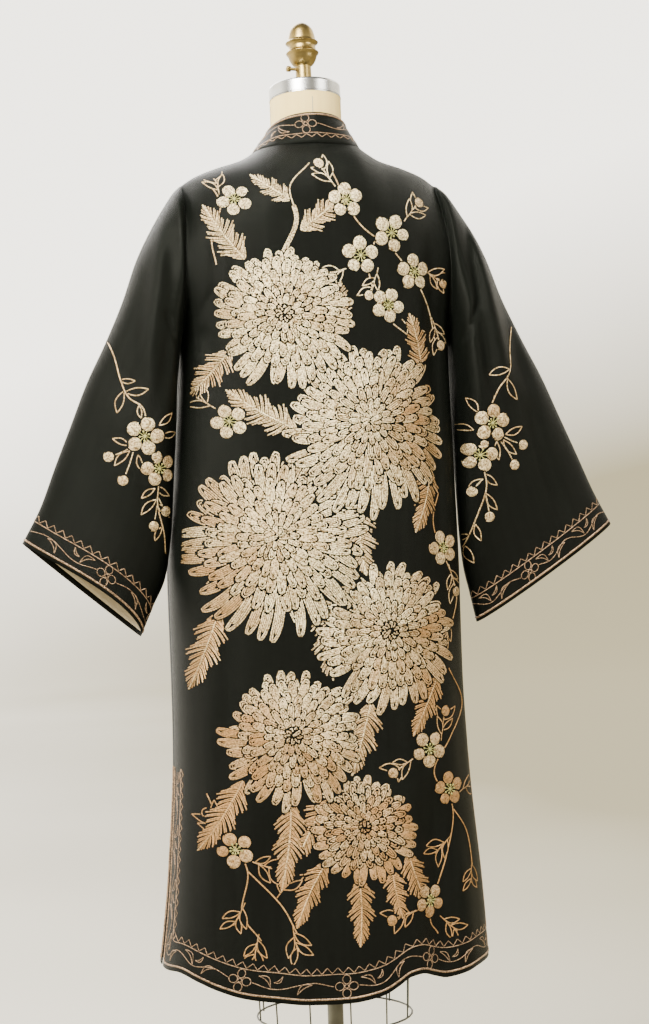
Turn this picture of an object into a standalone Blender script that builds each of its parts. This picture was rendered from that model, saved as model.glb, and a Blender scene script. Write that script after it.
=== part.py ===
"""Embroidered silk robe hanging open on a limbless dress form.

Metres, +Z up. The origin is the centre of the base's underside. The robe's back faces +Y and
its open front faces -Y, so the wearer's left side lies at +X.
"""
import math
from bisect import bisect_right
from collections import namedtuple

import bmesh
import bpy
from mathutils import Vector

for old in list(bpy.data.objects):
    bpy.data.objects.remove(old, do_unlink=True)

# Cloth
CLOTH = 0.002              # silk with its interlining
LINING = 0.001
BAND_THICK = 0.0025
SEAM = 0.0004              # gap between two pieces that are sewn together
MID_Y = -0.005             # the plane of the shoulder line and the side seams
SQUARE = 2.4               # superellipse power of the body's level sections

# Robe body
NECK_HALF = 0.085          # half width of the neckline on the shoulder line
NECKLINE_Z = 1.590         # the back neckline
ARMHOLE_X = 0.197
ARMHOLE_DEPTH = 0.072
ARMPIT_X = 0.205
ARMPIT_Z = 1.300
SHOULDER_ROUND = 0.11      # drop over which the shoulder turns from level to upright
VENT_TOP_Z = 0.683
VENT_OPEN = 0.012          # how far a side vent stands open at the hem

# Collar band
BAND_WIDTH = 0.050
COLLAR_HALF_X = 0.058
COLLAR_BACK_Y = 0.065
COLLAR_BACK_Z = 1.640
COLLAR_SIDE_Z = 1.624
BAND_LAP = 0.010           # the form is lowered this far past the band's seam, clear of its edge
BAND_JOIN = 0.413          # level where the band comes to lie flat on the chest

# Sleeves
LAST_STATION = 11
LINING_FROM = 7            # station where the visible lining starts
LINING_TO = 10.84          # just inside the cuff's edge
CUFF_RISE = 0.55           # how far the left cuff's back layer rides higher, in stations

# Dress form
REST_GAP = 0.0006          # between the form's shoulders and the cloth that rests on them
TOUCH = 0.0003             # between hard pieces that meet
NECK_RADIUS = 0.054
NECK_TOP_Z = 1.668
NECK_TILT = math.radians(7)
CAP_RADIUS = 0.0545
CAP_HEIGHT = 0.022
TORSO_BOTTOM_Z = 0.80
WIRE_RADIUS = 0.0012
RING_RADIUS = 0.0015
CAGE_WIRES = 12
CAGE_TOP_X = 0.135
CAGE_TOP_Y = 0.110
CAGE_BOTTOM_RADIUS = 0.1145
CAGE_BOTTOM_Z = 0.283
CAGE_RING_Z = (0.640, 0.460, 0.283)
POLE_RADIUS = 0.0121
BASE_RADIUS = 0.210
HUB_TOP_Z = 0.085

# Mesh density
SHOULDER_ROWS = 9
CREST_LEVEL = 0.008        # one more row where the shoulder line is most tightly bent
SKIRT_ROWS = 12
NECK_COLUMNS = 4           # from the centre back to the neckline's corner
SIDE_COLUMNS = 9           # from the neckline's corner to the side
FRONT_COLUMNS = 9
SLEEVE_COLUMNS = 28


class Table:
    """Rows under named columns, read along a smooth curve that never overshoots a row."""

    def __init__(self, columns, rows):
        self.columns = columns.split()
        self.rows = rows

    def at(self, column, key):
        keys = [row[0] for row in self.rows]
        values = [row[self.columns.index(column)] for row in self.rows]
        if key <= keys[0]:
            return values[0]
        if key >= keys[-1]:
            return values[-1]
        index = bisect_right(keys, key) - 1
        slopes = [(values[k + 1] - values[k]) / (keys[k + 1] - keys[k]) for k in range(len(keys) - 1)]
        width = keys[index + 1] - keys[index]
        start = self.tangent(slopes, index) * width
        end = self.tangent(slopes, index + 1) * width
        t = (key - keys[index]) / width
        rise = values[index + 1] - values[index]
        return (values[index] + start * t + (3 * rise - 2 * start - end) * t ** 2
                + (start + end - 2 * rise) * t ** 3)

    @staticmethod
    def tangent(slopes, index):
        if index == 0:
            return slopes[0]
        if index == len(slopes):
            return slopes[-1]
        before, after = slopes[index - 1], slopes[index]
        if before * after <= 0:
            return 0.0
        return 2 * before * after / (before + after)


# The shoulder line, from the centre out to the armhole
SHOULDER = Table("x z", [
    (0.000, 1.620),
    (0.050, 1.611),
    (0.085, 1.588),
    (0.104, 1.577),
    (0.142, 1.565),
    (0.173, 1.553),
    (0.197, 1.538),
])

# Level sections of the body, from the hem up
BODY = Table("z half_width shift back front", [
    (0.336, 0.2515, 0.0145, 0.163, 0.165),
    (0.517, 0.2355, 0.0085, 0.153, 0.161),
    (0.668, 0.2245, 0.0085, 0.147, 0.159),
    (0.800, 0.2215, 0.0100, 0.143, 0.158),
    (0.950, 0.222, 0.0105, 0.141, 0.158),
    (1.120, 0.2135, 0.005, 0.136, 0.159),
    (1.300, 0.205, 0.000, 0.132, 0.160),
    (1.360, 0.205, 0.000, 0.131, 0.158),
    (1.420, 0.205, 0.000, 0.130, 0.140),
    (1.500, 0.205, 0.000, 0.125, 0.105),
    (1.620, 0.205, 0.000, 0.120, 0.080),
])

# Height of the hem, from the wearer's right side seam to the left
HEM = Table("across back front", [
    (-1.00, 0.367, 0.367),
    (-0.85, 0.3635, 0.360),
    (-0.75, 0.358, 0.356),
    (-0.62, 0.355, 0.354),
    (-0.55, 0.360, 0.353),
    (-0.45, 0.368, 0.352),
    (-0.38, 0.3655, 0.352),
    (-0.30, 0.353, 0.351),
    (-0.20, 0.3415, 0.350),
    (0.00, 0.335, 0.350),
    (0.20, 0.3365, 0.350),
    (0.45, 0.343, 0.352),
    (0.60, 0.349, 0.355),
    (0.75, 0.360, 0.360),
    (0.85, 0.370, 0.366),
    (0.95, 0.379, 0.373),
    (1.00, 0.376, 0.376),
])

# Inner edge of the band on each side of the chest, by the level of the front panel's row
BAND_EDGE = Table("level x y z", [
    (0.000, 0.0580, -0.005, 1.624),
    (0.008, 0.0585, -0.015, 1.621),
    (0.030, 0.0590, -0.032, 1.612),
    (0.070, 0.0570, -0.050, 1.599),
    (0.117, 0.0535, -0.066, 1.583),
    (0.250, 0.0440, -0.096, 1.535),
    (0.413, 0.0360, -0.119, 1.484),
])

# Rings of the sleeves: overarm and underarm points, half depth and how far behind the seam plane
SLEEVE = Table("station left_over right_over over_z left_under right_under under_z half_depth centre_y", [
    (0, 0.197, 0.197, 1.538, 0.205, 0.205, 1.300, 0.072, 0.000),
    (1, 0.2065, 0.2065, 1.529, 0.207, 0.2075, 1.285, 0.079, 0.005),
    (2, 0.222, 0.222, 1.507, 0.211, 0.209, 1.262, 0.082, 0.008),
    (3, 0.244, 0.244, 1.471, 0.2165, 0.211, 1.232, 0.084, 0.012),
    (4, 0.267, 0.267, 1.426, 0.221, 0.212, 1.195, 0.080, 0.016),
    (5, 0.290, 0.290, 1.365, 0.225, 0.213, 1.150, 0.072, 0.020),
    (6, 0.317, 0.318, 1.305, 0.2285, 0.214, 1.105, 0.062, 0.022),
    (7, 0.3475, 0.350, 1.244, 0.232, 0.215, 1.055, 0.054, 0.022),
    (8, 0.3725, 0.378, 1.183, 0.236, 0.217, 1.005, 0.047, 0.020),
    (9, 0.397, 0.406, 1.123, 0.241, 0.221, 0.955, 0.042, 0.016),
    (10, 0.421, 0.434, 1.062, 0.260, 0.231, 0.908, 0.038, 0.012),
    (11, 0.448, 0.461, 1.012, 0.2775, 0.240, 0.868, 0.035, 0.010),
])

# The largest folds: troughs have a negative height
Fold = namedtuple("Fold", "piece face top_x top_z end_x end_z width height")
FOLDS = [
    Fold("body", 1, -0.168, 1.560, -0.163, 0.900, 0.016, -0.014),
    Fold("body", 1, -0.035, 0.980, -0.023, 0.440, 0.022, -0.006),
    Fold("body", 1, -0.128, 0.660, -0.138, 0.300, 0.024, -0.011),
    Fold("body", 1, -0.088, 0.600, -0.090, 0.300, 0.024, 0.005),
    Fold("body", 1, 0.112, 0.640, 0.120, 0.300, 0.026, -0.006),
    Fold("body", -1, 0.150, 1.250, 0.158, 0.420, 0.024, -0.009),
    Fold("body", -1, -0.142, 1.200, -0.150, 0.500, 0.026, 0.007),
    Fold("body", -1, -0.182, 0.960, -0.190, 0.300, 0.022, -0.009),
    Fold("body", -1, 0.186, 0.880, 0.198, 0.300, 0.022, 0.007),
    Fold("sleeve", 1, -0.217, 1.520, -0.262, 1.190, 0.014, -0.010),
    Fold("sleeve", 1, -0.236, 1.510, -0.288, 1.180, 0.014, 0.006),
    Fold("sleeve", 1, -0.252, 1.480, -0.318, 1.200, 0.014, -0.008),
    Fold("sleeve", 1, 0.216, 1.510, 0.243, 1.180, 0.014, -0.010),
    Fold("sleeve", 1, 0.250, 1.470, 0.305, 1.180, 0.016, -0.007),
    Fold("sleeve", -1, 0.222, 1.500, 0.250, 1.160, 0.015, -0.009),
    Fold("sleeve", -1, 0.268, 1.440, 0.340, 1.100, 0.018, -0.007),
    Fold("sleeve", -1, -0.226, 1.500, -0.262, 1.140, 0.015, -0.009),
    Fold("sleeve", -1, -0.276, 1.420, -0.350, 1.100, 0.018, 0.006),
]

# Torso below the shoulders, from its lower edge up
TORSO = Table("z half_width back front", [
    (0.800, 0.150, 0.118, 0.110),
    (0.900, 0.168, 0.135, 0.118),
    (0.980, 0.172, 0.135, 0.120),
    (1.080, 0.155, 0.115, 0.112),
    (1.180, 0.128, 0.090, 0.105),
    (1.280, 0.140, 0.100, 0.125),
    (1.360, 0.152, 0.112, 0.142),
    (1.430, 0.160, 0.112, 0.122),
    (1.490, 0.172, 0.098, 0.088),
    (1.515, 0.1775, 0.084, 0.074),
    (1.535, 0.1805, 0.068, 0.062),
])

# Half widths of the rings that climb the torso's shoulders, with their depths
SHOULDER_RINGS = Table("half_width back front", [
    (0.078, 0.050, 0.045),
    (0.090, 0.048, 0.042),
    (0.104, 0.047, 0.040),
    (0.122, 0.048, 0.039),
    (0.142, 0.050, 0.040),
    (0.160, 0.052, 0.042),
    (0.178, 0.056, 0.046),
])

# The neck above the shoulders
NECK = Table("z half_width back front", [
    (1.6010, 0.0695, 0.0520, 0.0480),
    (1.6115, 0.0615, 0.0525, 0.0500),
    (1.6205, 0.0545, 0.0535, 0.0520),
    (1.6400, 0.0541, 0.0540, 0.0540),
])

# Finial outline above the cap
FINIAL = Table("z radius", [
    (0.0000, 0.0120),
    (0.0310, 0.0120),
    (0.0350, 0.0160),
    (0.0415, 0.0200),
    (0.0485, 0.0225),
    (0.0525, 0.0250),
    (0.0560, 0.0215),
    (0.0625, 0.0205),
    (0.0660, 0.0220),
    (0.0685, 0.0250),
    (0.0715, 0.0215),
    (0.0775, 0.0204),
    (0.0870, 0.0180),
    (0.0940, 0.0135),
    (0.0985, 0.0078),
])
FINIAL_HEIGHT = 0.1003
SCREW_HEIGHT = 0.027       # of the thumb screw's axis above the cap
SCREW_TURN = math.radians(12)


def mix(start, end, amount):
    return start + (end - start) * amount


def ease(start, end, value):
    """0 before start, 1 after end, and smooth between."""
    t = min(1.0, max(0.0, (value - start) / (end - start)))
    return t * t * (3 - 2 * t)


def superellipse(across):
    return (1.0 - min(1.0, abs(across)) ** SQUARE) ** (1.0 / SQUARE)


def fold_height(piece, face, x, z):
    """Sum of the folds at a point, each a soft ridge or trough that fades at both ends."""
    height = 0.0
    for fold in FOLDS:
        if fold.piece == piece and fold.face == face:
            down = (fold.top_z - z) / (fold.top_z - fold.end_z)
            centre = mix(fold.top_x, fold.end_x, down)
            fade = ease(0.0, 0.3, down) * (1 - ease(0.75, 1.0, down))
            height += fold.height * fade * math.exp(-((x - centre) / fold.width) ** 2)
    return height


def body_point(face, across, level):
    """A point on the robe's outside.

    face is 1 on the back and -1 on the front. across runs from -1 at the right side to 1 at the
    left. level runs from 0 on the shoulder line through 1 at the armpits to 2 at the hem.
    """
    depth_column = "back" if face > 0 else "front"
    if level <= 1.0:
        ridge = SHOULDER.at("z", abs(ARMHOLE_X * across))
        top = min(ridge, NECKLINE_Z) if face > 0 else ridge
        z = mix(top, ARMPIT_Z, level)
        x = mix(ARMHOLE_X, ARMPIT_X, level) * across
        drop = min(1.0, (ridge - z) / SHOULDER_ROUND)
        deep = BODY.at(depth_column, z) * math.sqrt(1 - (1 - drop) ** 2)
        edge = ARMHOLE_DEPTH * 2 * math.sqrt(level * (1 - level))
        out = deep * superellipse(across) + edge * (1 - superellipse(across)) ** 2
    else:
        z = mix(ARMPIT_Z, HEM.at(depth_column, across), level - 1)
        x = BODY.at("shift", z) + BODY.at("half_width", z) * across
        open_amount = max(0.0, VENT_TOP_Z - z) / (VENT_TOP_Z - HEM.rows[-1][1])
        out = VENT_OPEN / 2 * min(1.0, open_amount) + BODY.at(depth_column, z) * superellipse(across)
    out += fold_height("body", face, x, z) * superellipse(across)
    return Vector((x, MID_Y + face * (out + SEAM / 2), z))


def body_normal(face, across, level):
    """Outward normal of the robe's body, from two short steps on its surface."""
    step = 0.004
    sideways = body_point(face, across + step, level) - body_point(face, across - step, level)
    upper = max(0.0, level - step)
    downward = body_point(face, across, level + step) - body_point(face, across, upper)
    return (sideways.cross(downward) * face).normalized()


def sleeve_point(side, angle, station):
    """A point on a sleeve's outside: angle 0 is overarm, a quarter turn is the back."""
    word = "left" if side > 0 else "right"
    over = Vector((SLEEVE.at(f"{word}_over", station), 0, SLEEVE.at("over_z", station)))
    under = Vector((SLEEVE.at(f"{word}_under", station), 0, SLEEVE.at("under_z", station)))
    point = (over + under) / 2 + (over - under) / 2 * math.cos(angle)
    face = 1 if math.sin(angle) >= 0 else -1
    x = side * (point.x + SEAM)
    weight = abs(math.sin(angle)) * ease(0.0, 1.5, station)
    out = SLEEVE.at("half_depth", station) * abs(math.sin(angle))
    out += fold_height("sleeve", face, x, point.z) * weight
    return Vector((x, MID_Y + SLEEVE.at("centre_y", station) + face * out, point.z))


def cuffed_sleeve_point(side, angle, station):
    """The sleeve with the left cuff's back layer riding a little higher than its front."""
    point = sleeve_point(side, angle, station)
    if side > 0 and math.sin(angle) > 0:
        lower_half = (1 - math.cos(angle)) / 2
        rise = CUFF_RISE * ease(8, LAST_STATION, station) * lower_half * math.sin(angle)
        run = sleeve_point(side, angle, LAST_STATION) - sleeve_point(side, angle, LAST_STATION - 1)
        point -= run * rise
    return point


def armhole_normal(level, face):
    """Normal of the armhole's edge within its own upright plane."""
    half_height = (SHOULDER.at("z", ARMHOLE_X) - ARMPIT_Z) / 2
    across = 2 * math.sqrt(level * (1 - level))
    return Vector((0, face * across / ARMHOLE_DEPTH, (1 - 2 * level) / half_height)).normalized()


def material(name, color, roughness, metallic=0.0):
    made = bpy.data.materials.new(name)
    made.use_nodes = True
    shader = made.node_tree.nodes["Principled BSDF"]
    shader.inputs["Base Color"].default_value = (*color, 1.0)
    shader.inputs["Roughness"].default_value = roughness
    shader.inputs["Metallic"].default_value = metallic
    made.diffuse_color = (*color, 1.0)
    return made


def add_object(name, vertices, faces, finish):
    """One closed solid, its faces turned outwards."""
    mesh = bpy.data.meshes.new(name)
    mesh.from_pydata([tuple(vertex) for vertex in vertices], [], faces)
    body = bmesh.new()
    body.from_mesh(mesh)
    bmesh.ops.recalc_face_normals(body, faces=body.faces)
    body.to_mesh(mesh)
    body.free()
    mesh.shade_smooth()
    mesh.set_sharp_from_angle(angle=math.radians(40))
    mesh.materials.append(finish)
    made = bpy.data.objects.new(name, mesh)
    bpy.context.scene.collection.objects.link(made)
    return made


def grid_normals(grid, turn, loop):
    """Normals of a grid of points, from the neighbours of each point."""
    rows = len(grid)
    columns = len(grid[0])
    result = []
    for i in range(rows):
        above = grid[max(i - 1, 0)]
        below = grid[min(i + 1, rows - 1)]
        line = []
        for j in range(columns):
            before = (j - 1) % columns if loop else max(j - 1, 0)
            after = (j + 1) % columns if loop else min(j + 1, columns - 1)
            sideways = grid[i][after] - grid[i][before]
            line.append((sideways.cross(below[j] - above[j]) * turn).normalized())
        result.append(line)
    return result


def offset_grid(grid, normals, distance):
    return [[point - normal * distance for point, normal in zip(line, line_normals)]
            for line, line_normals in zip(grid, normals)]


def cloth_wall(name, outer, inner, finish, loop=False):
    """Join a sheet's outside and inside and close its edges, both split along one diagonal."""
    rows = len(outer)
    columns = len(outer[0])
    vertices = [point for line in outer for point in line] + [point for line in inner for point in line]
    inside = rows * columns
    faces = []

    def quad(a, b, c, d):
        faces.append((a, b, c))
        faces.append((a, c, d))

    for i in range(rows - 1):
        for j in range(columns if loop else columns - 1):
            after = (j + 1) % columns
            corners = (i * columns + j, i * columns + after, (i + 1) * columns + after, (i + 1) * columns + j)
            quad(*corners)
            flipped = [corner + inside for corner in corners]
            faces.append((flipped[0], flipped[2], flipped[1]))
            faces.append((flipped[0], flipped[3], flipped[2]))
    for j in range(columns if loop else columns - 1):
        after = (j + 1) % columns
        last = (rows - 1) * columns
        quad(after, j, j + inside, after + inside)
        quad(last + j, last + after, last + after + inside, last + j + inside)
    if not loop:
        for i in range(rows - 1):
            first = i * columns
            second = (i + 1) * columns
            quad(first, second, second + inside, first + inside)
            quad(second + columns - 1, first + columns - 1, first + columns - 1 + inside,
                 second + columns - 1 + inside)
    return add_object(name, vertices, faces, finish)


def stacked_rings(name, rings, finish):
    """Close a stack of equal rings of points into one solid; a single point makes a pole."""
    vertices = []
    starts = []
    for ring in rings:
        starts.append(len(vertices))
        vertices.extend(ring)
    faces = []
    for k in range(len(rings) - 1):
        low, high = starts[k], starts[k + 1]
        count = max(len(rings[k]), len(rings[k + 1]))
        for j in range(count):
            after = (j + 1) % count
            if len(rings[k]) == 1:
                faces.append((low, high + after, high + j))
            elif len(rings[k + 1]) == 1:
                faces.append((low + j, low + after, high))
            else:
                faces.append((low + j, low + after, high + after, high + j))
    if len(rings[0]) > 1:
        faces.append([starts[0] + j for j in range(len(rings[0]))])
    if len(rings[-1]) > 1:
        faces.append([starts[-1] + j for j in range(len(rings[-1]))])
    return add_object(name, vertices, faces, finish)


def turned(name, profile, segments, finish, place=Vector(), axis=Vector((0, 0, 1))):
    """A turned solid from (radius, height) pairs, low to high, about an axis from place."""
    turn = Vector((0, 0, 1)).rotation_difference(axis)
    rings = []
    for radius, height in profile:
        count = segments if radius > 0 else 1
        rings.append([place + turn @ Vector((radius * math.cos(math.tau * k / count),
                                             radius * math.sin(math.tau * k / count), height))
                      for k in range(count)])
    return stacked_rings(name, rings, finish)


black_silk = material("black silk", (0.012, 0.013, 0.011), 0.45)
cream_lining = material("cream lining", (0.62, 0.52, 0.32), 0.6)
band_silk = material("black silk band with gold", (0.030, 0.026, 0.018), 0.5)
jersey = material("beige jersey", (0.58, 0.48, 0.34), 0.85)
cap_steel = material("brushed steel", (0.62, 0.63, 0.64), 0.3, 1.0)
brass = material("aged brass", (0.42, 0.28, 0.12), 0.38, 1.0)
wire_steel = material("dark wire", (0.16, 0.16, 0.17), 0.45, 1.0)
pole_grey = material("grey steel pole", (0.30, 0.31, 0.32), 0.4, 0.8)
cast_iron = material("painted cast iron", (0.05, 0.05, 0.055), 0.55)


def body_levels():
    """Levels of the body's rows: closer together at the shoulder line and the armpit."""
    upper = [(1 - math.cos(math.pi * k / SHOULDER_ROWS)) / 2 for k in range(1, SHOULDER_ROWS)]
    return [0.0, CREST_LEVEL] + upper + [1 + k / SKIRT_ROWS for k in range(SKIRT_ROWS + 1)]


def across_at(angle):
    return math.sin(angle) ** (2 / SQUARE)


def angle_at(across):
    return math.asin(across ** (SQUARE / 2))


def back_columns():
    """Column places on the back, with one on each corner of the neckline."""
    corner = angle_at(NECK_HALF / ARMHOLE_X)
    right_angle = math.pi / 2
    angles = [corner * k / NECK_COLUMNS for k in range(NECK_COLUMNS)]
    angles += [mix(corner, right_angle, k / SIDE_COLUMNS) for k in range(SIDE_COLUMNS + 1)]
    half = [across_at(angle) for angle in angles]
    half[-1] = 1.0
    return [-across for across in reversed(half[1:])] + half


def front_edge(level):
    """Place of the front panel's inner edge, which hangs straight down."""
    if level <= 1.0:
        return NECK_HALF / mix(ARMHOLE_X, ARMPIT_X, level)
    z = mix(ARMPIT_Z, HEM.at("front", 0.4), level - 1)
    return NECK_HALF / BODY.at("half_width", z)


def front_columns(level):
    edge = angle_at(front_edge(level))
    places = [across_at(mix(edge, math.pi / 2, k / FRONT_COLUMNS)) for k in range(FRONT_COLUMNS + 1)]
    places[-1] = 1.0
    return places


def panel_normal(face, across, level):
    """Normal for a panel's inside, square to a seam wherever the point lies on one."""
    side = 1 if across > 0 else -1
    on_side = abs(across) == 1.0
    if on_side and level < 1.0:
        return armhole_normal(level, face)
    if on_side and level == 1.0:
        return Vector((side, 0, -1)).normalized()
    if on_side:
        return Vector((side, 0, 0))
    if level == 0.0 and abs(across) * ARMHOLE_X > NECK_HALF - SEAM:
        x = abs(across) * ARMHOLE_X
        step = 0.003
        slope = (SHOULDER.at("z", x + step) - SHOULDER.at("z", x - step)) / (2 * step)
        return Vector((-slope * side, 0, 1)).normalized()
    return body_normal(face, across, level)


def build_back():
    columns = back_columns()
    outer = [[body_point(1, across, level) for across in columns] for level in body_levels()]
    normals = [[panel_normal(1, across, level) for across in columns] for level in body_levels()]
    cloth_wall("back", outer, offset_grid(outer, normals, CLOTH), black_silk)


def build_front(name, side):
    outer = []
    normals = []
    for level in body_levels():
        columns = [side * across for across in front_columns(level)]
        outer.append([body_point(-1, across, level) for across in columns])
        normals.append([panel_normal(-1, across, level) for across in columns])
    cloth_wall(name, outer, offset_grid(outer, normals, CLOTH), black_silk)


def sleeve_stations():
    return [0, 0.5] + list(range(1, LAST_STATION)) + [LINING_TO, LAST_STATION]


def sleeve_grid(side):
    """Outside points of a sleeve and the normals that its inside and its lining follow."""
    angles = [math.tau * k / SLEEVE_COLUMNS for k in range(SLEEVE_COLUMNS)]
    grid = [[cuffed_sleeve_point(side, angle, station) for angle in angles]
            for station in sleeve_stations()]
    normals = grid_normals(grid, -side, loop=True)
    normals[0] = [armhole_normal((1 - math.cos(angle)) / 2, 1 if math.sin(angle) >= 0 else -1)
                  for angle in angles]
    return grid, normals


def build_sleeve(side, name):
    grid, normals = sleeve_grid(side)
    cloth_wall(name, grid, offset_grid(grid, normals, CLOTH), black_silk, loop=True)


def build_sleeve_lining(side, name):
    """The lining where it shows, moved in from the sleeve's own points."""
    grid, normals = sleeve_grid(side)
    stations = sleeve_stations()
    first = stations.index(LINING_FROM)
    last = stations.index(LINING_TO)
    rows = slice(first, last + 1)
    outer = offset_grid(grid[rows], normals[rows], CLOTH + SEAM)
    inner = offset_grid(grid[rows], normals[rows], CLOTH + SEAM + LINING)
    cloth_wall(name, outer, inner, cream_lining, loop=True)


def band_sections():
    """Seam edge, free edge and seam normal of the band, from the left front hem round the nape
    to the right front hem."""
    sections = []
    levels = body_levels()[1:]
    for side in (1, -1):
        run = []
        for level in levels:
            edge_across = front_edge(level) * side
            seam_edge = body_point(-1, edge_across, level)
            seam_normal = body_normal(-1, edge_across, level)
            if level < BAND_JOIN:
                free_edge = Vector([BAND_EDGE.at(column, level) for column in "xyz"])
                free_edge.x *= side
            else:
                free_edge = body_point(-1, edge_across * (1 - BAND_WIDTH / NECK_HALF), level)
            run.append((seam_edge, free_edge, seam_normal))
        sections.append(run)
    nape = []
    for across in back_columns():
        if abs(across) * ARMHOLE_X <= NECK_HALF + SEAM:
            turn = math.pi / 2 * across * ARMHOLE_X / NECK_HALF
            free_edge = Vector((COLLAR_HALF_X * math.sin(turn), MID_Y + COLLAR_BACK_Y * math.cos(turn),
                                mix(COLLAR_SIDE_Z, COLLAR_BACK_Z, math.cos(turn))))
            nape.append((body_point(1, across, 0.0), free_edge, panel_normal(1, across, 0.0)))
    return list(reversed(sections[0])) + list(reversed(nape)) + sections[1]


def build_collar_band():
    grid = []
    seam_normals = []
    for seam_edge, free_edge, seam_normal in band_sections():
        start = seam_edge + (free_edge - seam_edge).normalized() * SEAM
        grid.append([start, (start + free_edge) / 2, free_edge])
        seam_normals.append(seam_normal)
    normals = grid_normals(grid, -1, loop=False)
    for line, seam_normal in zip(normals, seam_normals):
        line[0] = seam_normal
    cloth_wall("collar_band", grid, offset_grid(grid, normals, BAND_THICK), band_silk)


def tilted(point, centre_z):
    """A level point moved onto the plane of the neck's top, which is higher at the back."""
    return Vector((point.x, point.y, centre_z + (point.y - MID_Y) * math.tan(NECK_TILT)))


def oval(half_width, back, front, z, count=28):
    ring = []
    for k in range(count):
        turn = math.tau * k / count
        depth = back if math.sin(turn) >= 0 else front
        ring.append(Vector((half_width * math.cos(turn), MID_Y + depth * math.sin(turn), z)))
    return ring


def build_torso():
    rings = [oval(row[1], row[2], row[3], row[0]) for row in TORSO.rows]
    for half_width, back, front in reversed(SHOULDER_RINGS.rows):
        step = 0.004
        slope = (SHOULDER.at("z", half_width + step) - SHOULDER.at("z", half_width - step)) / (2 * step)
        thickness = BAND_THICK if half_width < NECK_HALF + BAND_LAP else CLOTH
        wall = thickness * math.sqrt(1 + slope ** 2)
        rings.append(oval(half_width, back, front, SHOULDER.at("z", half_width) - wall - REST_GAP))
    rings += [oval(half_width, back, front, z) for z, half_width, back, front in NECK.rows]
    top = oval(NECK_RADIUS, NECK_RADIUS, NECK_RADIUS, NECK_TOP_Z)
    rings.append([tilted(point, NECK_TOP_Z) for point in top])
    stacked_rings("torso", rings, jersey)


def build_neck_fittings():
    """The metal cap, the brass finial on it and its thumb screw, all square to the neck's top."""
    axis = Vector((0, -math.sin(NECK_TILT), math.cos(NECK_TILT)))
    foot = Vector((0, MID_Y, NECK_TOP_Z)) + axis * TOUCH
    rounding = 0.004
    cap = [(CAP_RADIUS, 0.0), (CAP_RADIUS, CAP_HEIGHT - rounding),
           (CAP_RADIUS - rounding * 0.3, CAP_HEIGHT - rounding * 0.3),
           (CAP_RADIUS - rounding, CAP_HEIGHT)]
    turned("neck_cap", cap, 32, cap_steel, foot, axis)
    foot += axis * (CAP_HEIGHT + TOUCH)
    finial = [(radius, height) for height, radius in FINIAL.rows] + [(0.0, FINIAL_HEIGHT)]
    turned("finial", finial, 20, brass, foot, axis)
    aim = Vector((math.cos(SCREW_TURN), math.sin(SCREW_TURN), 0))
    stem_radius = FINIAL.rows[0][1]
    screw = [(0.0025, 0.0), (0.0025, 0.009), (0.0045, 0.0095), (0.0045, 0.0145), (0.0035, 0.0155)]
    turned("thumb_screw", screw, 12, brass, foot + axis * SCREW_HEIGHT + aim * (stem_radius + TOUCH), aim)


def cage_radii(z):
    down = (TORSO_BOTTOM_Z - z) / (TORSO_BOTTOM_Z - CAGE_BOTTOM_Z)
    return mix(CAGE_TOP_X, CAGE_BOTTOM_RADIUS, down), mix(CAGE_TOP_Y, CAGE_BOTTOM_RADIUS, down)


def build_cage_wire(index):
    turn = math.tau * index / CAGE_WIRES
    ends = []
    for z in (CAGE_BOTTOM_Z - RING_RADIUS, TORSO_BOTTOM_Z - TOUCH):
        radius_x, radius_y = cage_radii(z)
        centre = Vector((radius_x * math.cos(turn), MID_Y + radius_y * math.sin(turn), z))
        corners = [math.tau * k / 8 for k in range(8)]
        ends.append([centre + Vector((math.cos(corner), math.sin(corner), 0)) * WIRE_RADIUS
                     for corner in corners])
    stacked_rings(f"cage_wire_{index + 1:02d}", ends, wire_steel)


def build_cage_ring(index, z):
    """A round wire bent round the outside of the upright wires."""
    radius_x, radius_y = cage_radii(z)
    clear = WIRE_RADIUS + RING_RADIUS + TOUCH * 1.5
    around = CAGE_WIRES * 3
    section = 6
    vertices = []
    for k in range(around):
        turn = math.tau * k / around
        for m in range(section):
            tilt = math.tau * m / section
            out = clear + RING_RADIUS * math.cos(tilt)
            vertices.append(Vector(((radius_x + out) * math.cos(turn),
                                    MID_Y + (radius_y + out) * math.sin(turn),
                                    z + RING_RADIUS * math.sin(tilt))))
    faces = []
    for k in range(around):
        for m in range(section):
            next_k = (k + 1) % around
            next_m = (m + 1) % section
            faces.append((k * section + m, next_k * section + m,
                          next_k * section + next_m, k * section + next_m))
    add_object(f"cage_ring_{index + 1}", vertices, faces, wire_steel)


def build_stand():
    pole = [(POLE_RADIUS, HUB_TOP_Z + TOUCH), (POLE_RADIUS, TORSO_BOTTOM_Z - TOUCH)]
    turned("pole", pole, 20, pole_grey)
    base = [(BASE_RADIUS - 0.003, 0.0), (BASE_RADIUS, 0.003), (BASE_RADIUS, 0.014),
            (BASE_RADIUS - 0.006, 0.019), (0.120, 0.024), (0.050, 0.032), (0.032, 0.042),
            (0.028, HUB_TOP_Z - 0.004), (0.024, HUB_TOP_Z)]
    turned("base", base, 40, cast_iron)


build_back()
build_front("front_left", 1)
build_front("front_right", -1)
for side, word in ((1, "left"), (-1, "right")):
    build_sleeve(side, f"sleeve_{word}")
    build_sleeve_lining(side, f"sleeve_lining_{word}")
build_collar_band()
build_torso()
build_neck_fittings()
for index in range(CAGE_WIRES):
    build_cage_wire(index)
for index, z in enumerate(CAGE_RING_Z):
    build_cage_ring(index, z)
build_stand()
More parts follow.
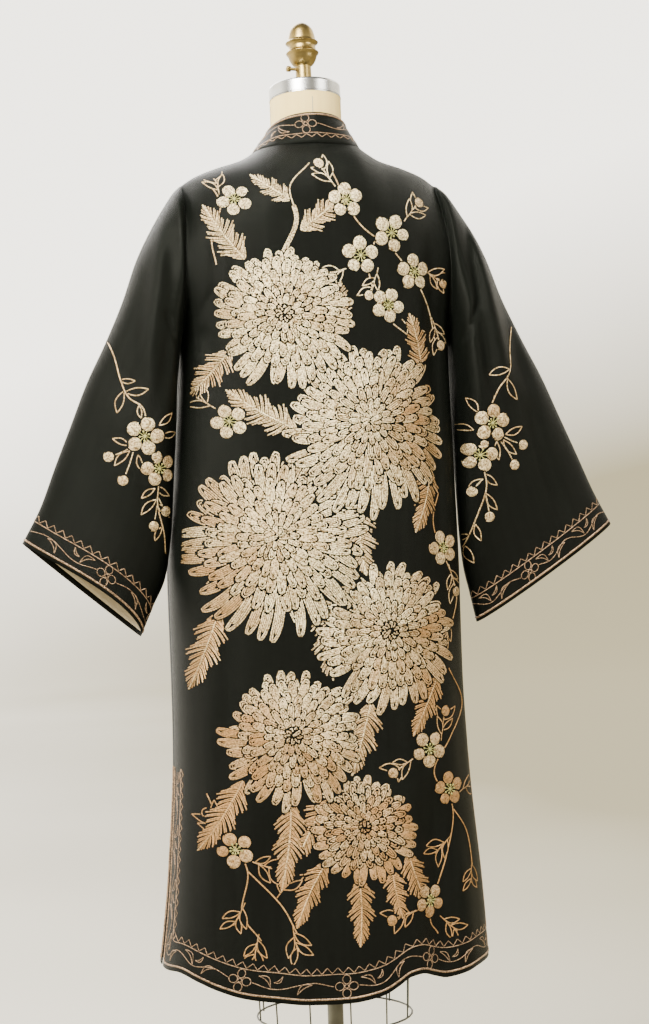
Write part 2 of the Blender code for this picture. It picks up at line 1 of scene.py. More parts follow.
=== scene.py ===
# %% [markdown]
# # An embroidered silk robe on a dress form
# The object is a full-length black silk robe, open down the front, that hangs on a limbless
# dress form and is seen from behind. Its cloth is plain; nearly all that catches the eye is
# couching: metal-wrapped thread laid on the silk and sewn down. The script first repeats the
# garment's pattern as functions, then lays the cloth, the threads and the stand on them.

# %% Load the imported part
import math
from collections import namedtuple

import bpy
import numpy as np
from mathutils import Matrix, Vector


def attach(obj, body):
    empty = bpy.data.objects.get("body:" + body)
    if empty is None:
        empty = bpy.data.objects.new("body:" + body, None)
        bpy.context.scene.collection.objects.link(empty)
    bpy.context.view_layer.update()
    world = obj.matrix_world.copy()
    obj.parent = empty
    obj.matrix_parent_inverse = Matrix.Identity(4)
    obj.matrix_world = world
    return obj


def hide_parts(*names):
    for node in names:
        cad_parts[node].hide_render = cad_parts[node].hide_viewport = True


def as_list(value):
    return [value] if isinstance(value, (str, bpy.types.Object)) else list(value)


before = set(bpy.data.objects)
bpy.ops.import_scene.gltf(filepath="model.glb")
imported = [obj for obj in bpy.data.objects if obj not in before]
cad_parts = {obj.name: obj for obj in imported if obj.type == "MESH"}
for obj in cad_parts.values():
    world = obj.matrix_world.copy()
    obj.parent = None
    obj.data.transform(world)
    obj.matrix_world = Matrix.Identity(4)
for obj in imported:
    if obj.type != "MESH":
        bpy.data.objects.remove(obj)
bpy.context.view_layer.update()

# %% [markdown]
# ## The garment's pattern
# A tailor works from a few girths and lengths. Here the same numbers stand in short tables, and a
# smooth curve runs through each column. A sculpted mesh could give the same shape, but a table can
# be read, and every thread below can ask it where the cloth lies. All functions take whole arrays,
# so that thousands of thread points are placed in one call.

# %% Measures and table reader
CLOTH, SEAM = 0.002, 0.0004          # a solid's wall, and the gap kept at a seam
FACE_WALL, LINING_WALL, BAND_WALL = 0.0012, 0.0006, 0.0018
MID_Y = -0.005                       # the shoulder line, front to back
SQUARE = 2.4                         # power of the body's rounded sections
NECK_HALF, NECKLINE_Z = 0.085, 1.590
ARMHOLE_X, ARMHOLE_DEPTH = 0.197, 0.072
ARMPIT_X, ARMPIT_Z = 0.205, 1.300
SHOULDER_ROUND = 0.11                # height over which a panel bends off the shoulder
VENT_TOP_Z, VENT_OPEN = 0.683, 0.012
BAND_WIDTH, BAND_JOIN = 0.050, 0.413
COLLAR_HALF_X, COLLAR_BACK_Y = 0.058, 0.065
COLLAR_BACK_Z, COLLAR_SIDE_Z = 1.640, 1.624
LAST_STATION = 11                    # the cuff
LINING_FROM, LINING_TO, CUFF_RISE = 7, 10.84, 0.55
UNDERARM_HANG = {"left": 0.0062, "right": 0.0030}
SIDES = ((1, "left"), (-1, "right"))
FACE_NAME = {1: "back", -1: "front"}


class Table:
    """Rows under named columns, read along a smooth curve that never overshoots a row."""

    def __init__(self, columns, rows):
        self.columns = columns.split()
        self.rows = np.array(rows, float)

    def at(self, column, key):
        keys, values = self.rows[:, 0], self.rows[:, self.columns.index(column)]
        slopes = np.diff(values) / np.diff(keys)
        product, total = slopes[:-1] * slopes[1:], slopes[:-1] + slopes[1:]
        middle = np.where(product > 0, 2 * product / np.where(product > 0, total, 1), 0)
        tangents = np.concatenate([slopes[:1], middle, slopes[-1:]])
        key = np.clip(np.asarray(key, float), keys[0], keys[-1])
        index = np.clip(np.searchsorted(keys, key, side="right") - 1, 0, len(keys) - 2)
        width = keys[index + 1] - keys[index]
        t = (key - keys[index]) / width
        start, end = tangents[index] * width, tangents[index + 1] * width
        rise = values[index + 1] - values[index]
        return (values[index] + start * t + (3 * rise - 2 * start - end) * t ** 2
                + (start + end - 2 * rise) * t ** 3)


print("cloth", CLOTH, "m, seams", SEAM, "m, cuff at station", LAST_STATION)

# %% Pattern tables
SHOULDER = Table("x z", [(0.000, 1.620), (0.050, 1.611), (0.085, 1.588), (0.104, 1.577),
                         (0.142, 1.565), (0.173, 1.553), (0.197, 1.538)])
BODY = Table("z half_width shift back front", [
    (0.336, 0.2515, 0.0145, 0.163, 0.165),
    (0.517, 0.2355, 0.0085, 0.153, 0.161),
    (0.668, 0.2245, 0.0085, 0.147, 0.159),
    (0.800, 0.2215, 0.0100, 0.143, 0.158),
    (0.950, 0.222, 0.0105, 0.141, 0.158),
    (1.120, 0.2135, 0.005, 0.136, 0.159),
    (1.300, 0.205, 0.000, 0.132, 0.160),
    (1.360, 0.205, 0.000, 0.131, 0.158),
    (1.420, 0.205, 0.000, 0.130, 0.140),
    (1.500, 0.205, 0.000, 0.125, 0.105),
    (1.620, 0.205, 0.000, 0.120, 0.080),
])
HEM = Table("across back front", [
    (-1.00, 0.367, 0.367), (-0.85, 0.3635, 0.360), (-0.75, 0.358, 0.356), (-0.62, 0.355, 0.354),
    (-0.55, 0.360, 0.353), (-0.45, 0.368, 0.352), (-0.38, 0.3655, 0.352), (-0.30, 0.353, 0.351),
    (-0.20, 0.3415, 0.350), (0.00, 0.335, 0.350), (0.20, 0.3365, 0.350), (0.45, 0.343, 0.352),
    (0.60, 0.349, 0.355), (0.75, 0.360, 0.360), (0.85, 0.370, 0.366), (0.95, 0.379, 0.373),
    (1.00, 0.376, 0.376),
])
BAND_EDGE = Table("level x y z", [
    (0.000, 0.0580, -0.005, 1.624), (0.008, 0.0585, -0.015, 1.621), (0.030, 0.0590, -0.032, 1.612),
    (0.070, 0.0570, -0.050, 1.599), (0.117, 0.0535, -0.066, 1.583), (0.250, 0.0440, -0.096, 1.535),
    (0.413, 0.0360, -0.119, 1.484),
])
SLEEVE = Table("station left_over right_over over_z left_under right_under under_z half_depth "
               "centre_y", [
    (0, 0.197, 0.197, 1.538, 0.205, 0.205, 1.300, 0.072, 0.000),
    (1, 0.2065, 0.2065, 1.529, 0.207, 0.2075, 1.285, 0.079, 0.005),
    (2, 0.222, 0.222, 1.507, 0.211, 0.209, 1.262, 0.082, 0.008),
    (3, 0.244, 0.244, 1.471, 0.2165, 0.211, 1.232, 0.084, 0.012),
    (4, 0.267, 0.267, 1.426, 0.221, 0.212, 1.195, 0.080, 0.016),
    (5, 0.290, 0.290, 1.365, 0.225, 0.213, 1.150, 0.072, 0.020),
    (6, 0.317, 0.318, 1.305, 0.2285, 0.214, 1.105, 0.062, 0.022),
    (7, 0.3475, 0.350, 1.244, 0.232, 0.215, 1.055, 0.054, 0.022),
    (8, 0.3725, 0.378, 1.183, 0.236, 0.217, 1.005, 0.047, 0.020),
    (9, 0.397, 0.406, 1.123, 0.241, 0.221, 0.955, 0.042, 0.016),
    (10, 0.421, 0.434, 1.062, 0.260, 0.231, 0.908, 0.038, 0.012),
    (11, 0.448, 0.461, 1.012, 0.2775, 0.240, 0.868, 0.035, 0.010),
])


def mix(start, end, amount):
    return start + (end - start) * amount


def ease(start, end, value):
    """0 before start, 1 after end, and smooth between."""
    t = np.clip((value - start) / (end - start), 0, 1)
    return t * t * (3 - 2 * t)


def superellipse(across):
    return (1 - np.minimum(1, np.abs(across)) ** SQUARE) ** (1 / SQUARE)


print("back length at the centre", round(NECKLINE_Z - float(HEM.at("back", 0)), 3), "m")

# %% [markdown]
# ## Folds and creases
# Silk that hangs from a form's shoulders falls in a few long troughs where it has slack, with
# small uneven creases between them. A cloth simulation makes such folds where it likes; here each
# is placed one by one, because the robe's troughs at the two armholes belong where they are. In each
# group the large folds, which the solids have too, come first; the others are shallow, and lie on
# the front and the hidden sides as well.

# %% Fold tables
Fold = namedtuple("Fold", "top_x top_z end_x end_z width height")
FOLDS = {                            # by piece and face, where 1 is the back
    ("body", 1): [
        # large
        (-0.168, 1.560, -0.163, 0.900, 0.016, -0.014), (-0.035, 0.980, -0.023, 0.440, 0.022, -0.006),
        (-0.128, 0.660, -0.138, 0.300, 0.024, -0.011), (-0.088, 0.600, -0.090, 0.300, 0.024, 0.005),
        (0.112, 0.640, 0.120, 0.300, 0.026, -0.006),
        # shallow
        (0.156, 1.520, 0.176, 1.180, 0.010, -0.0041), (0.128, 1.470, 0.150, 1.330, 0.009, -0.0019),
        (-0.120, 1.500, -0.142, 1.290, 0.010, 0.0022), (-0.190, 1.420, -0.176, 1.260, 0.008, -0.0030),
        (0.188, 1.330, 0.160, 1.240, 0.012, -0.0027), (-0.060, 1.080, -0.050, 0.700, 0.014, 0.0024),
        (0.150, 1.150, 0.168, 0.640, 0.016, -0.0035), (0.190, 0.900, 0.205, 0.400, 0.014, 0.0035),
        (-0.180, 1.000, -0.196, 0.560, 0.013, -0.0041), (0.035, 0.560, 0.030, 0.320, 0.018, -0.0043),
        (0.074, 0.520, 0.082, 0.320, 0.014, 0.0032), (-0.178, 0.560, -0.192, 0.320, 0.015, 0.0046),
        (0.010, 1.610, 0.016, 1.470, 0.012, 0.0016), (0.158, 1.385, 0.196, 1.318, 0.007, -0.0026),
    ],
    ("body", -1): [
        # large
        (0.150, 1.250, 0.158, 0.420, 0.024, -0.009), (-0.142, 1.200, -0.150, 0.500, 0.026, 0.007),
        (-0.182, 0.960, -0.190, 0.300, 0.022, -0.009), (0.186, 0.880, 0.198, 0.300, 0.022, 0.007),
        # shallow
        (0.172, 1.400, 0.120, 1.180, 0.012, -0.0035), (-0.170, 1.390, -0.126, 1.200, 0.012, -0.0041),
        (0.120, 1.050, 0.118, 0.560, 0.014, 0.0032), (-0.112, 0.980, -0.120, 0.400, 0.015, -0.0038),
        (0.118, 0.620, 0.130, 0.330, 0.014, -0.0035), (-0.160, 0.640, -0.168, 0.340, 0.013, 0.0030),
    ],
    ("sleeve", 1): [
        # large
        (-0.217, 1.520, -0.262, 1.190, 0.014, -0.010), (-0.236, 1.510, -0.288, 1.180, 0.014, 0.006),
        (-0.252, 1.480, -0.318, 1.200, 0.014, -0.008), (0.216, 1.510, 0.243, 1.180, 0.014, -0.010),
        (0.250, 1.470, 0.305, 1.180, 0.016, -0.007),
        # shallow
        (-0.242, 1.362, -0.212, 1.286, 0.006, -0.0042), (0.236, 1.352, 0.216, 1.282, 0.006, -0.0036),
        (-0.226, 1.530, -0.244, 1.330, 0.007, -0.0046), (-0.268, 1.440, -0.345, 1.130, 0.010, -0.0038),
        (-0.224, 1.300, -0.250, 1.020, 0.012, 0.0041), (-0.300, 1.240, -0.380, 1.010, 0.014, -0.0049),
        (0.232, 1.500, 0.272, 1.240, 0.009, 0.0041), (0.226, 1.300, 0.262, 1.040, 0.012, 0.0035),
        (0.290, 1.330, 0.372, 1.060, 0.013, -0.0035),
    ],
    ("sleeve", -1): [
        # large
        (0.222, 1.500, 0.250, 1.160, 0.015, -0.009), (0.268, 1.440, 0.340, 1.100, 0.018, -0.007),
        (-0.226, 1.500, -0.262, 1.140, 0.015, -0.009), (-0.276, 1.420, -0.350, 1.100, 0.018, 0.006),
        # shallow
        (0.240, 1.480, 0.300, 1.180, 0.010, 0.0041), (0.300, 1.300, 0.390, 1.040, 0.014, -0.0046),
        (-0.244, 1.470, -0.300, 1.150, 0.011, 0.0038), (-0.310, 1.280, -0.400, 1.030, 0.013, -0.0043),
    ],
}


def fold_height(piece, face, x, z):
    """Sum of the folds at a point, each a soft ridge or trough that fades at both ends."""
    height = np.zeros(np.broadcast(x, z).shape)
    for side, _ in SIDES:
        for fold in (Fold(*row) for row in FOLDS[piece, side]):
            down = (fold.top_z - z) / (fold.top_z - fold.end_z)
            centre = mix(fold.top_x, fold.end_x, down)
            fade = ease(0.0, 0.3, down) * (1 - ease(0.75, 1.0, down)) * (face == side)
            height = height + fold.height * fade * np.exp(-((x - centre) / fold.width) ** 2)
    return height


print("folds and creases", {" ".join(map(str, key)): len(rows) for key, rows in FOLDS.items()})

# %% [markdown]
# ## Where the cloth lies
# Each panel is a function from two pattern coordinates to a point. For sewing, a second form is
# handier: the place on the upright drawing plane, x sideways and z up, as one looks at the robe
# from behind. An embroiderer transfers a drawing onto the cloth in just this way.

# %% Where the body lies
def packed(*columns):
    return np.stack(np.broadcast_arrays(*columns), axis=-1)


def body_x(across, z):
    return BODY.at("shift", z) + BODY.at("half_width", z) * across


def body_across(x, z):
    return (x - BODY.at("shift", z)) / BODY.at("half_width", z)


def ridge_z(across):
    return SHOULDER.at("z", np.abs(ARMHOLE_X * across))


def body_y(face, across, level, x, z):
    """Y of the body's outside at a place that is known in all its coordinates."""
    side_round = superellipse(across)
    depth = BODY.at(FACE_NAME[face], z)
    drop = np.clip((ridge_z(across) - z) / SHOULDER_ROUND, 0, 1)
    inner = np.clip(level, 0, 1)
    oval = 2 * np.sqrt(inner * (1 - inner))
    # away from the armhole's own edge the oval runs out softly, or it would show as a crease
    edge = ARMHOLE_DEPTH * mix(oval, oval ** 3, ease(0.0, 0.35, side_round))
    high = depth * np.sqrt(1 - (1 - drop) ** 2) * side_round + edge * (1 - side_round) ** 2
    open_amount = np.clip((VENT_TOP_Z - z) / (VENT_TOP_Z - HEM.rows[-1][1]), 0, 1)
    low = VENT_OPEN / 2 * open_amount + depth * side_round
    out = np.where(level <= 1, high, low) + fold_height("body", face, x, z) * side_round
    return MID_Y + face * (out + SEAM / 2)


def shoulder_top(face, across):
    return np.minimum(ridge_z(across), NECKLINE_Z) if face > 0 else ridge_z(across)


def body_point(face, across, level):
    """A point of the body: face 1 is the back; level 0 shoulder line, 1 armpits, 2 hem."""
    across, level = np.broadcast_arrays(np.asarray(across, float), np.asarray(level, float))
    high_z = mix(shoulder_top(face, across), ARMPIT_Z, level)
    low_z = mix(ARMPIT_Z, HEM.at(FACE_NAME[face], across), level - 1)
    z = np.where(level <= 1, high_z, low_z)
    high_x = mix(ARMHOLE_X, ARMPIT_X, level) * across
    x = np.where(level <= 1, high_x, body_x(across, z))
    return packed(x, body_y(face, across, level, x, z), z)


def body_at(face, x, z):
    """The body's point at a place of the drawing plane."""
    x, z = np.broadcast_arrays(np.asarray(x, float), np.asarray(z, float))
    across = x / ARMHOLE_X
    for _ in range(5):
        top = shoulder_top(face, across)
        level = np.clip((z - top) / (ARMPIT_Z - top), 0, 1)
        across = x / mix(ARMHOLE_X, ARMPIT_X, level)
    lower = z <= ARMPIT_Z
    across = np.where(lower, body_across(x, z), across)
    return packed(x, body_y(face, across, np.where(lower, 1.5, level), x, z), z)


print("armhole seam at", body_at(1, 0.19, 1.45).round(3))

# %% Where the sleeves lie
def sleeve_ends(side, station):
    """Overarm and underarm places; the underarm hangs in against the body's side."""
    word = dict(SIDES)[side]
    over = SLEEVE.at(f"{word}_over", station), SLEEVE.at("over_z", station)
    hang = UNDERARM_HANG[word] * ease(1.5, 5, station) * (1 - ease(7.5, 10, station))
    under = SLEEVE.at(f"{word}_under", station) - hang, SLEEVE.at("under_z", station)
    return over, under


def plain_sleeve_point(side, angle, station):
    (over_x, over_z), (under_x, under_z) = sleeve_ends(side, station)
    wave = np.cos(angle)
    flat_x = (over_x + under_x) / 2 + (over_x - under_x) / 2 * wave
    z = (over_z + under_z) / 2 + (over_z - under_z) / 2 * wave
    face = np.where(np.sin(angle) >= 0, 1, -1)
    x = side * (flat_x + SEAM)
    across = np.abs(np.sin(angle))
    out = SLEEVE.at("half_depth", station) * across
    out = out + fold_height("sleeve", face, x, z) * across * ease(0.0, 1.5, station)
    return packed(x, MID_Y + SLEEVE.at("centre_y", station) + face * out, z)


def sleeve_point(side, angle, station):
    """A point of a sleeve: angle 0 is overarm, a quarter turn is the back. The left cuff's back
    layer rides a little higher than its front."""
    angle, station = np.broadcast_arrays(np.asarray(angle, float), np.asarray(station, float))
    point = plain_sleeve_point(side, angle, station)
    if side < 0:
        return point
    turn = np.maximum(np.sin(angle), 0)
    rise = CUFF_RISE * ease(8, LAST_STATION, station) * (1 - np.cos(angle)) / 2 * turn
    last_step = [plain_sleeve_point(side, angle, LAST_STATION - back) for back in (0.0, 1.0)]
    return point - (last_step[0] - last_step[1]) * rise[..., None]


def sleeve_at(side, face, x, z):
    """The sleeve's point at a place of the drawing plane, found by halving along the sleeve."""
    x, z = np.abs(np.asarray(x, float)), np.asarray(z, float)
    low, high = np.zeros(x.shape), np.full(x.shape, float(LAST_STATION))
    for _ in range(20):
        middle = (low + high) / 2
        (over_x, over_z), (under_x, under_z) = sleeve_ends(side, middle)
        beyond = (under_x - over_x) * (z - over_z) - (under_z - over_z) * (x - over_x) > 0
        low, high = np.where(beyond, middle, low), np.where(beyond, high, middle)
    run_x, run_z = under_x - over_x, under_z - over_z
    share = ((x - over_x) * run_x + (z - over_z) * run_z) / (run_x ** 2 + run_z ** 2)
    return sleeve_point(side, face * np.arccos(1 - 2 * np.clip(share, 0.004, 0.996)), middle)


def unit(vectors):
    return vectors / np.maximum(np.linalg.norm(vectors, axis=-1, keepdims=True), 1e-12)


def with_normals(place, u, v, turn, step=0.0012):
    """Points of a surface and their outward normals, from two short steps on it."""
    along = place(u + step, v) - place(u - step, v)
    upward = place(u, v + step) - place(u, v - step)
    return place(u, v), unit(np.cross(along, upward) * turn)


print("sleeve tip", sleeve_point(1, 0, LAST_STATION).round(3))

# %% [markdown]
# ## Finishes
# Silk twill, cream lining, metal-wrapped thread, jersey, spun steel, brass, wire and enamel each
# get a node material. What several of them share (a woven or knitted relief, and slow changes of
# shade) is a node group, built once, that puts out only a colour factor and a height. The shader
# itself stays in each material, so that its fixed values sit on its own sockets.

# %% Shared node groups
def add(tree, kind, inputs=(), **settings):
    """A new node: settings are its own options; inputs are values or other nodes' sockets."""
    node = tree.nodes.new(kind)
    for label, value in settings.items():
        setattr(node, label, value)
    for label, value in dict(inputs).items():
        if isinstance(value, bpy.types.NodeSocket):
            tree.links.new(value, node.inputs[label])
        else:
            node.inputs[label].default_value = value
    return node


def new_tree(name, kind, inputs, outputs):
    """An empty tree with its sockets. Returns it with what it is given and what it must fill."""
    tree = bpy.data.node_groups.new(name, kind)
    for label, socket_type, *default in inputs:
        socket = tree.interface.new_socket(label, in_out="INPUT", socket_type="NodeSocket" + socket_type)
        if default:
            socket.default_value = default[0]
    for label, socket_type in outputs:
        tree.interface.new_socket(label, in_out="OUTPUT", socket_type="NodeSocket" + socket_type)
    return tree, add(tree, "NodeGroupInput").outputs, add(tree, "NodeGroupOutput").inputs


def math_node(tree, operation, *values, clamp=False):
    made = add(tree, "ShaderNodeMath", enumerate(values), operation=operation, use_clamp=clamp)
    return made.outputs[0]


def noise_node(tree, vector, scale, detail=3.0, roughness=0.5):
    return add(tree, "ShaderNodeTexNoise", {"Vector": vector, "Scale": scale, "Detail": detail,
                                            "Roughness": roughness}).outputs["Fac"]


def stretched(tree, vector, scale):
    return add(tree, "ShaderNodeMapping", {"Vector": vector, "Scale": scale}).outputs[0]


def build_weave_group():
    """Diagonal twill ribs crossed by finer threads, in metres of cloth."""
    group, given, result = new_tree(
        "weave", "ShaderNodeTree", [("Vector", "Vector"), ("Rib", "Float", 0.0009)],
        [("Height", "Float"), ("Shade", "Float")])
    axes = add(group, "ShaderNodeSeparateXYZ", {0: given["Vector"]}).outputs
    diagonal = math_node(group, "ADD", axes["X"], axes["Y"])
    waves = []
    for run, turns in ((diagonal, math.tau), (axes["X"], 2.3 * math.tau)):
        share = math_node(group, "DIVIDE", run, given["Rib"])
        waves.append(math_node(group, "SINE", math_node(group, "MULTIPLY", share, turns)))
    group.links.new(math_node(group, "ADD", waves[0], math_node(group, "MULTIPLY", waves[1], 0.4)),
                    result["Height"])
    slow = noise_node(group, given["Vector"], 7.0, 4.0)
    slub = noise_node(group, stretched(group, given["Vector"], (90, 2.5, 1)), 1.0, 2.0)
    halves = [math_node(group, "MULTIPLY", shade, 0.5) for shade in (slow, slub)]
    group.links.new(math_node(group, "ADD", *halves), result["Shade"])
    return group


def build_wear_group():
    """Cloudy shade and fine scratches for hard surfaces, in metres."""
    group, given, result = new_tree(
        "handling", "ShaderNodeTree", [("Vector", "Vector"), ("Scale", "Float", 30.0)],
        [("Shade", "Float"), ("Height", "Float")])
    group.links.new(noise_node(group, given["Vector"], given["Scale"], 4.0), result["Shade"])
    scratches = noise_node(group, stretched(group, given["Vector"], (12, 12, 420)), 6.0, 2.0)
    group.links.new(scratches, result["Height"])
    return group


weave_group, handling_group = build_weave_group(), build_wear_group()
print("node groups", weave_group.name, handling_group.name)

# %% Material helper
def finish(name, **sockets):
    """A new material with fixed values on its shader. Returns it with its tree and shader."""
    made = bpy.data.materials.new(name)
    made.use_nodes = True
    shader = made.node_tree.nodes["Principled BSDF"]
    for socket, value in sockets.items():
        label = socket.replace("_", " ").title().replace("Ior", "IOR")
        shader.inputs[label].default_value = value
    return made, made.node_tree, shader


def object_place(tree):
    return add(tree, "ShaderNodeTexCoord").outputs["Object"]


def color_ramp(tree, factor, dark, light, low=0.3, high=0.7):
    ramp = add(tree, "ShaderNodeValToRGB", {0: factor})
    for element, color, position in zip(ramp.color_ramp.elements, (dark, light), (low, high)):
        element.color, element.position = (*color, 1), position
    return ramp.outputs[0]


def mixed_color(tree, factor, first, second):
    return add(tree, "ShaderNodeMix", {0: factor, 6: first, 7: second}, data_type="RGBA").outputs[2]


def bump_from(tree, shader, height, distance, strength=1.0):
    bump = add(tree, "ShaderNodeBump", {"Distance": distance, "Strength": strength, "Height": height})
    tree.links.new(bump.outputs[0], shader.inputs["Normal"])


def dressed(made, tree, shader, group, inputs, dark, light, relief):
    """Put a shared group's shade and relief on a material's shader."""
    shared = add(tree, "ShaderNodeGroup", inputs, node_tree=group)
    tree.links.new(color_ramp(tree, shared.outputs["Shade"], dark, light), shader.inputs["Base Color"])
    bump_from(tree, shader, shared.outputs["Height"], relief)
    return made


def woven(name, dark, light, rib, relief, **sockets):
    """Cloth: weave relief and slow shade on the piece's own UV map, which is in metres."""
    made, tree, shader = finish(name, **sockets)
    uv = add(tree, "ShaderNodeUVMap", uv_map="cloth").outputs[0]
    return dressed(made, tree, shader, weave_group, {"Vector": uv, "Rib": rib}, dark, light, relief)


def hard(name, dark, light, relief, scale=30.0, **sockets):
    made, tree, shader = finish(name, **sockets)
    inputs = {"Vector": object_place(tree), "Scale": scale}
    return dressed(made, tree, shader, handling_group, inputs, dark, light, relief)


robe_silk = woven("black silk twill", (0.0015, 0.0019, 0.0013), (0.0033, 0.0041, 0.0029), 0.0011,
                  0.00006, roughness=0.44, specular_ior_level=0.075, specular_tint=(1.0, 1.0, 0.86, 1),
                  sheen_weight=0.010, sheen_roughness=0.3, sheen_tint=(0.86, 0.92, 0.76, 1))
lining_silk = woven("cream silk lining", (0.50, 0.41, 0.25), (0.66, 0.56, 0.37), 0.0008, 0.00005,
                    roughness=0.5, sheen_weight=0.15)
jersey = woven("beige cotton jersey", (0.88, 0.62, 0.20), (0.98, 0.755, 0.27), 0.0014, 0.00012,
               roughness=0.88, sheen_weight=0.2)
spun_steel = hard("spun steel", (0.43, 0.425, 0.395), (0.64, 0.635, 0.605), 0.00004,
                  metallic=1.0, roughness=0.27)
aged_brass = hard("aged brass", (0.21, 0.145, 0.045), (0.36, 0.26, 0.088), 0.00005, 45,
                  metallic=1.0, roughness=0.34)
drawn_wire = hard("dark drawn wire", (0.055, 0.055, 0.046), (0.12, 0.12, 0.10), 0.00002,
                  metallic=0.9, roughness=0.42)
grey_tube = hard("dull grey tube", (0.082, 0.078, 0.055), (0.132, 0.126, 0.092), 0.00003,
                 metallic=0.85, roughness=0.4)
black_enamel = hard("black enamel on cast iron", (0.008, 0.008, 0.009), (0.016, 0.016, 0.018), 0.0002,
                    60, roughness=0.38, specular_ior_level=0.22)
print(len(bpy.data.materials), "materials")

# %% [markdown]
# ## Metal thread
# Couched thread is paper-thin gilt foil wound round a silk core. Three things tell it from wire:
# the slanting turns of the foil, glints where single turns face the light, and a colour that
# drifts from pale silver-gold to copper as the foil tarnishes. The turns are a bump; the glints are
# painted: fine random flecks of painted shade between them. The strands carry attributes for
# this: how far along and how far round a point lies, and its tone.

# %% Thread material
TWIST_PITCH = 0.0012


def metal_thread(name, pale, copper, shadow):
    made, tree, shader = finish(name, roughness=0.36, metallic=0.55, specular_ior_level=0.6)

    def attribute(label):
        return add(tree, "ShaderNodeAttribute", attribute_name=label).outputs["Fac"]

    place = object_place(tree)
    drift = math_node(tree, "SUBTRACT", noise_node(tree, place, 14.0, 3.0), 0.5)
    tone = math_node(tree, "ADD", attribute("tone"), drift, clamp=True)
    # painted glints: random fine flecks where the foil takes the painted shade colour (shadow), standing
    # for turns that face away from the light
    painted_glint = math_node(tree, "SUBTRACT", noise_node(tree, place, 430.0, 1.0), 0.43, clamp=True)
    dull = math_node(tree, "MULTIPLY", painted_glint, 5.0, clamp=True)
    foil = color_ramp(tree, tone, pale, copper, 0.0, 1.0)
    tree.links.new(mixed_color(tree, dull, foil, (*shadow, 1)), shader.inputs["Base Color"])
    turns = math_node(tree, "ADD", math_node(tree, "MULTIPLY", attribute("along"), 1 / TWIST_PITCH),
                      math_node(tree, "MULTIPLY", attribute("round"), 0.8))
    ridges = math_node(tree, "SINE", math_node(tree, "MULTIPLY", turns, math.tau))
    bump_from(tree, shader, ridges, 0.00012, 0.8)
    return made


silver_thread = metal_thread("silver-gold thread", (1.0, 0.84, 0.47), (0.46, 0.24, 0.075),
                             (0.20, 0.12, 0.04))
gold_thread = metal_thread("copper-gold thread", (0.42, 0.27, 0.145), (0.28, 0.165, 0.082),
                           (0.11, 0.065, 0.033))
stamen_thread = metal_thread("yellow-green silk thread", (0.55, 0.52, 0.16), (0.42, 0.38, 0.12),
                             (0.26, 0.24, 0.08))
print("threads", silver_thread.name, "/", gold_thread.name)

# %% [markdown]
# ## The cloth
# Each panel is one sheet of quads on its surface function, with its UV map in metres of cloth, so
# that the twill runs at one size everywhere. A Solidify modifier gives the wall. Cutting the
# panels where the garment is cut keeps real seams at the shoulders, armholes and sides.

# %% Panels
def link_mesh(name, mesh, material):
    mesh.materials.clear()
    mesh.materials.append(material)
    piece = bpy.data.objects.new(name, mesh)
    bpy.context.scene.collection.objects.link(piece)
    return piece


def sheet_piece(name, points, material, loop=False, flip=False, capped=False):
    """A grid of points as a smooth sheet with a UV map in metres; a loop's ends can be capped."""
    rows, columns = points.shape[:2]
    ring = columns if loop else columns - 1
    i, j = np.meshgrid(np.arange(rows - 1), np.arange(ring), indexing="ij")
    after = (j + 1) % columns
    quads = np.stack([i * columns + j, i * columns + after, (i + 1) * columns + after,
                      (i + 1) * columns + j], axis=-1).reshape(-1, 4)
    closed = np.concatenate([points, points[:, :1]], axis=1) if loop else points
    across = np.cumsum(np.linalg.norm(np.diff(closed, axis=1), axis=2), axis=1)
    across = np.pad(across, ((0, 0), (1, 0)))
    across = across - across.mean(axis=1, keepdims=True)
    down = np.pad(np.cumsum(np.linalg.norm(np.diff(points, axis=0), axis=2).mean(axis=1)), (1, 0))
    corner_row = np.stack([i, i, i + 1, i + 1], axis=-1).reshape(-1, 4)
    corner_column = np.stack([j, j + 1, j + 1, j], axis=-1).reshape(-1, 4)
    if flip:
        quads, corner_row, corner_column = quads[:, ::-1], corner_row[:, ::-1], corner_column[:, ::-1]
    faces = quads.tolist()
    uv = np.stack([across[corner_row, corner_column], down[corner_row]], axis=-1).reshape(-1, 2)
    if capped:
        last = (rows - 1) * columns
        faces += [list(range(columns - 1, -1, -1)), list(range(last, last + columns))]
        uv = np.concatenate([uv, np.zeros((2 * columns, 2))])
    mesh = bpy.data.meshes.new(name)
    mesh.from_pydata(points.reshape(-1, 3).tolist(), [], faces)
    mesh.uv_layers.new(name="cloth").data.foreach_set("uv", uv.reshape(-1))
    mesh.shade_smooth()
    return link_mesh(name, mesh, material)


def walled(piece, thickness):
    wall = piece.modifiers.new("wall", "SOLIDIFY")
    wall.thickness, wall.offset, wall.use_even_offset = thickness, -1, False
    return piece


def angles_between(start, end, count):
    """Places across the body, closer together where its sections bend."""
    first, last = math.asin(start ** (SQUARE / 2)), math.asin(end ** (SQUARE / 2))
    return np.sin(np.linspace(first, last, count)) ** (2 / SQUARE)


UPPER = (1 - np.cos(np.linspace(0, math.pi, 46))) / 2
BODY_LEVELS = np.concatenate([UPPER, 1 + np.linspace(0, 1, 150)[1:]])


def front_edge(level):
    """Place of the front panel's inner edge, which hangs straight down."""
    z = mix(ARMPIT_Z, HEM.at("front", 0.4), level - 1)
    return NECK_HALF / np.where(level <= 1, mix(ARMHOLE_X, ARMPIT_X, level), BODY.at("half_width", z))


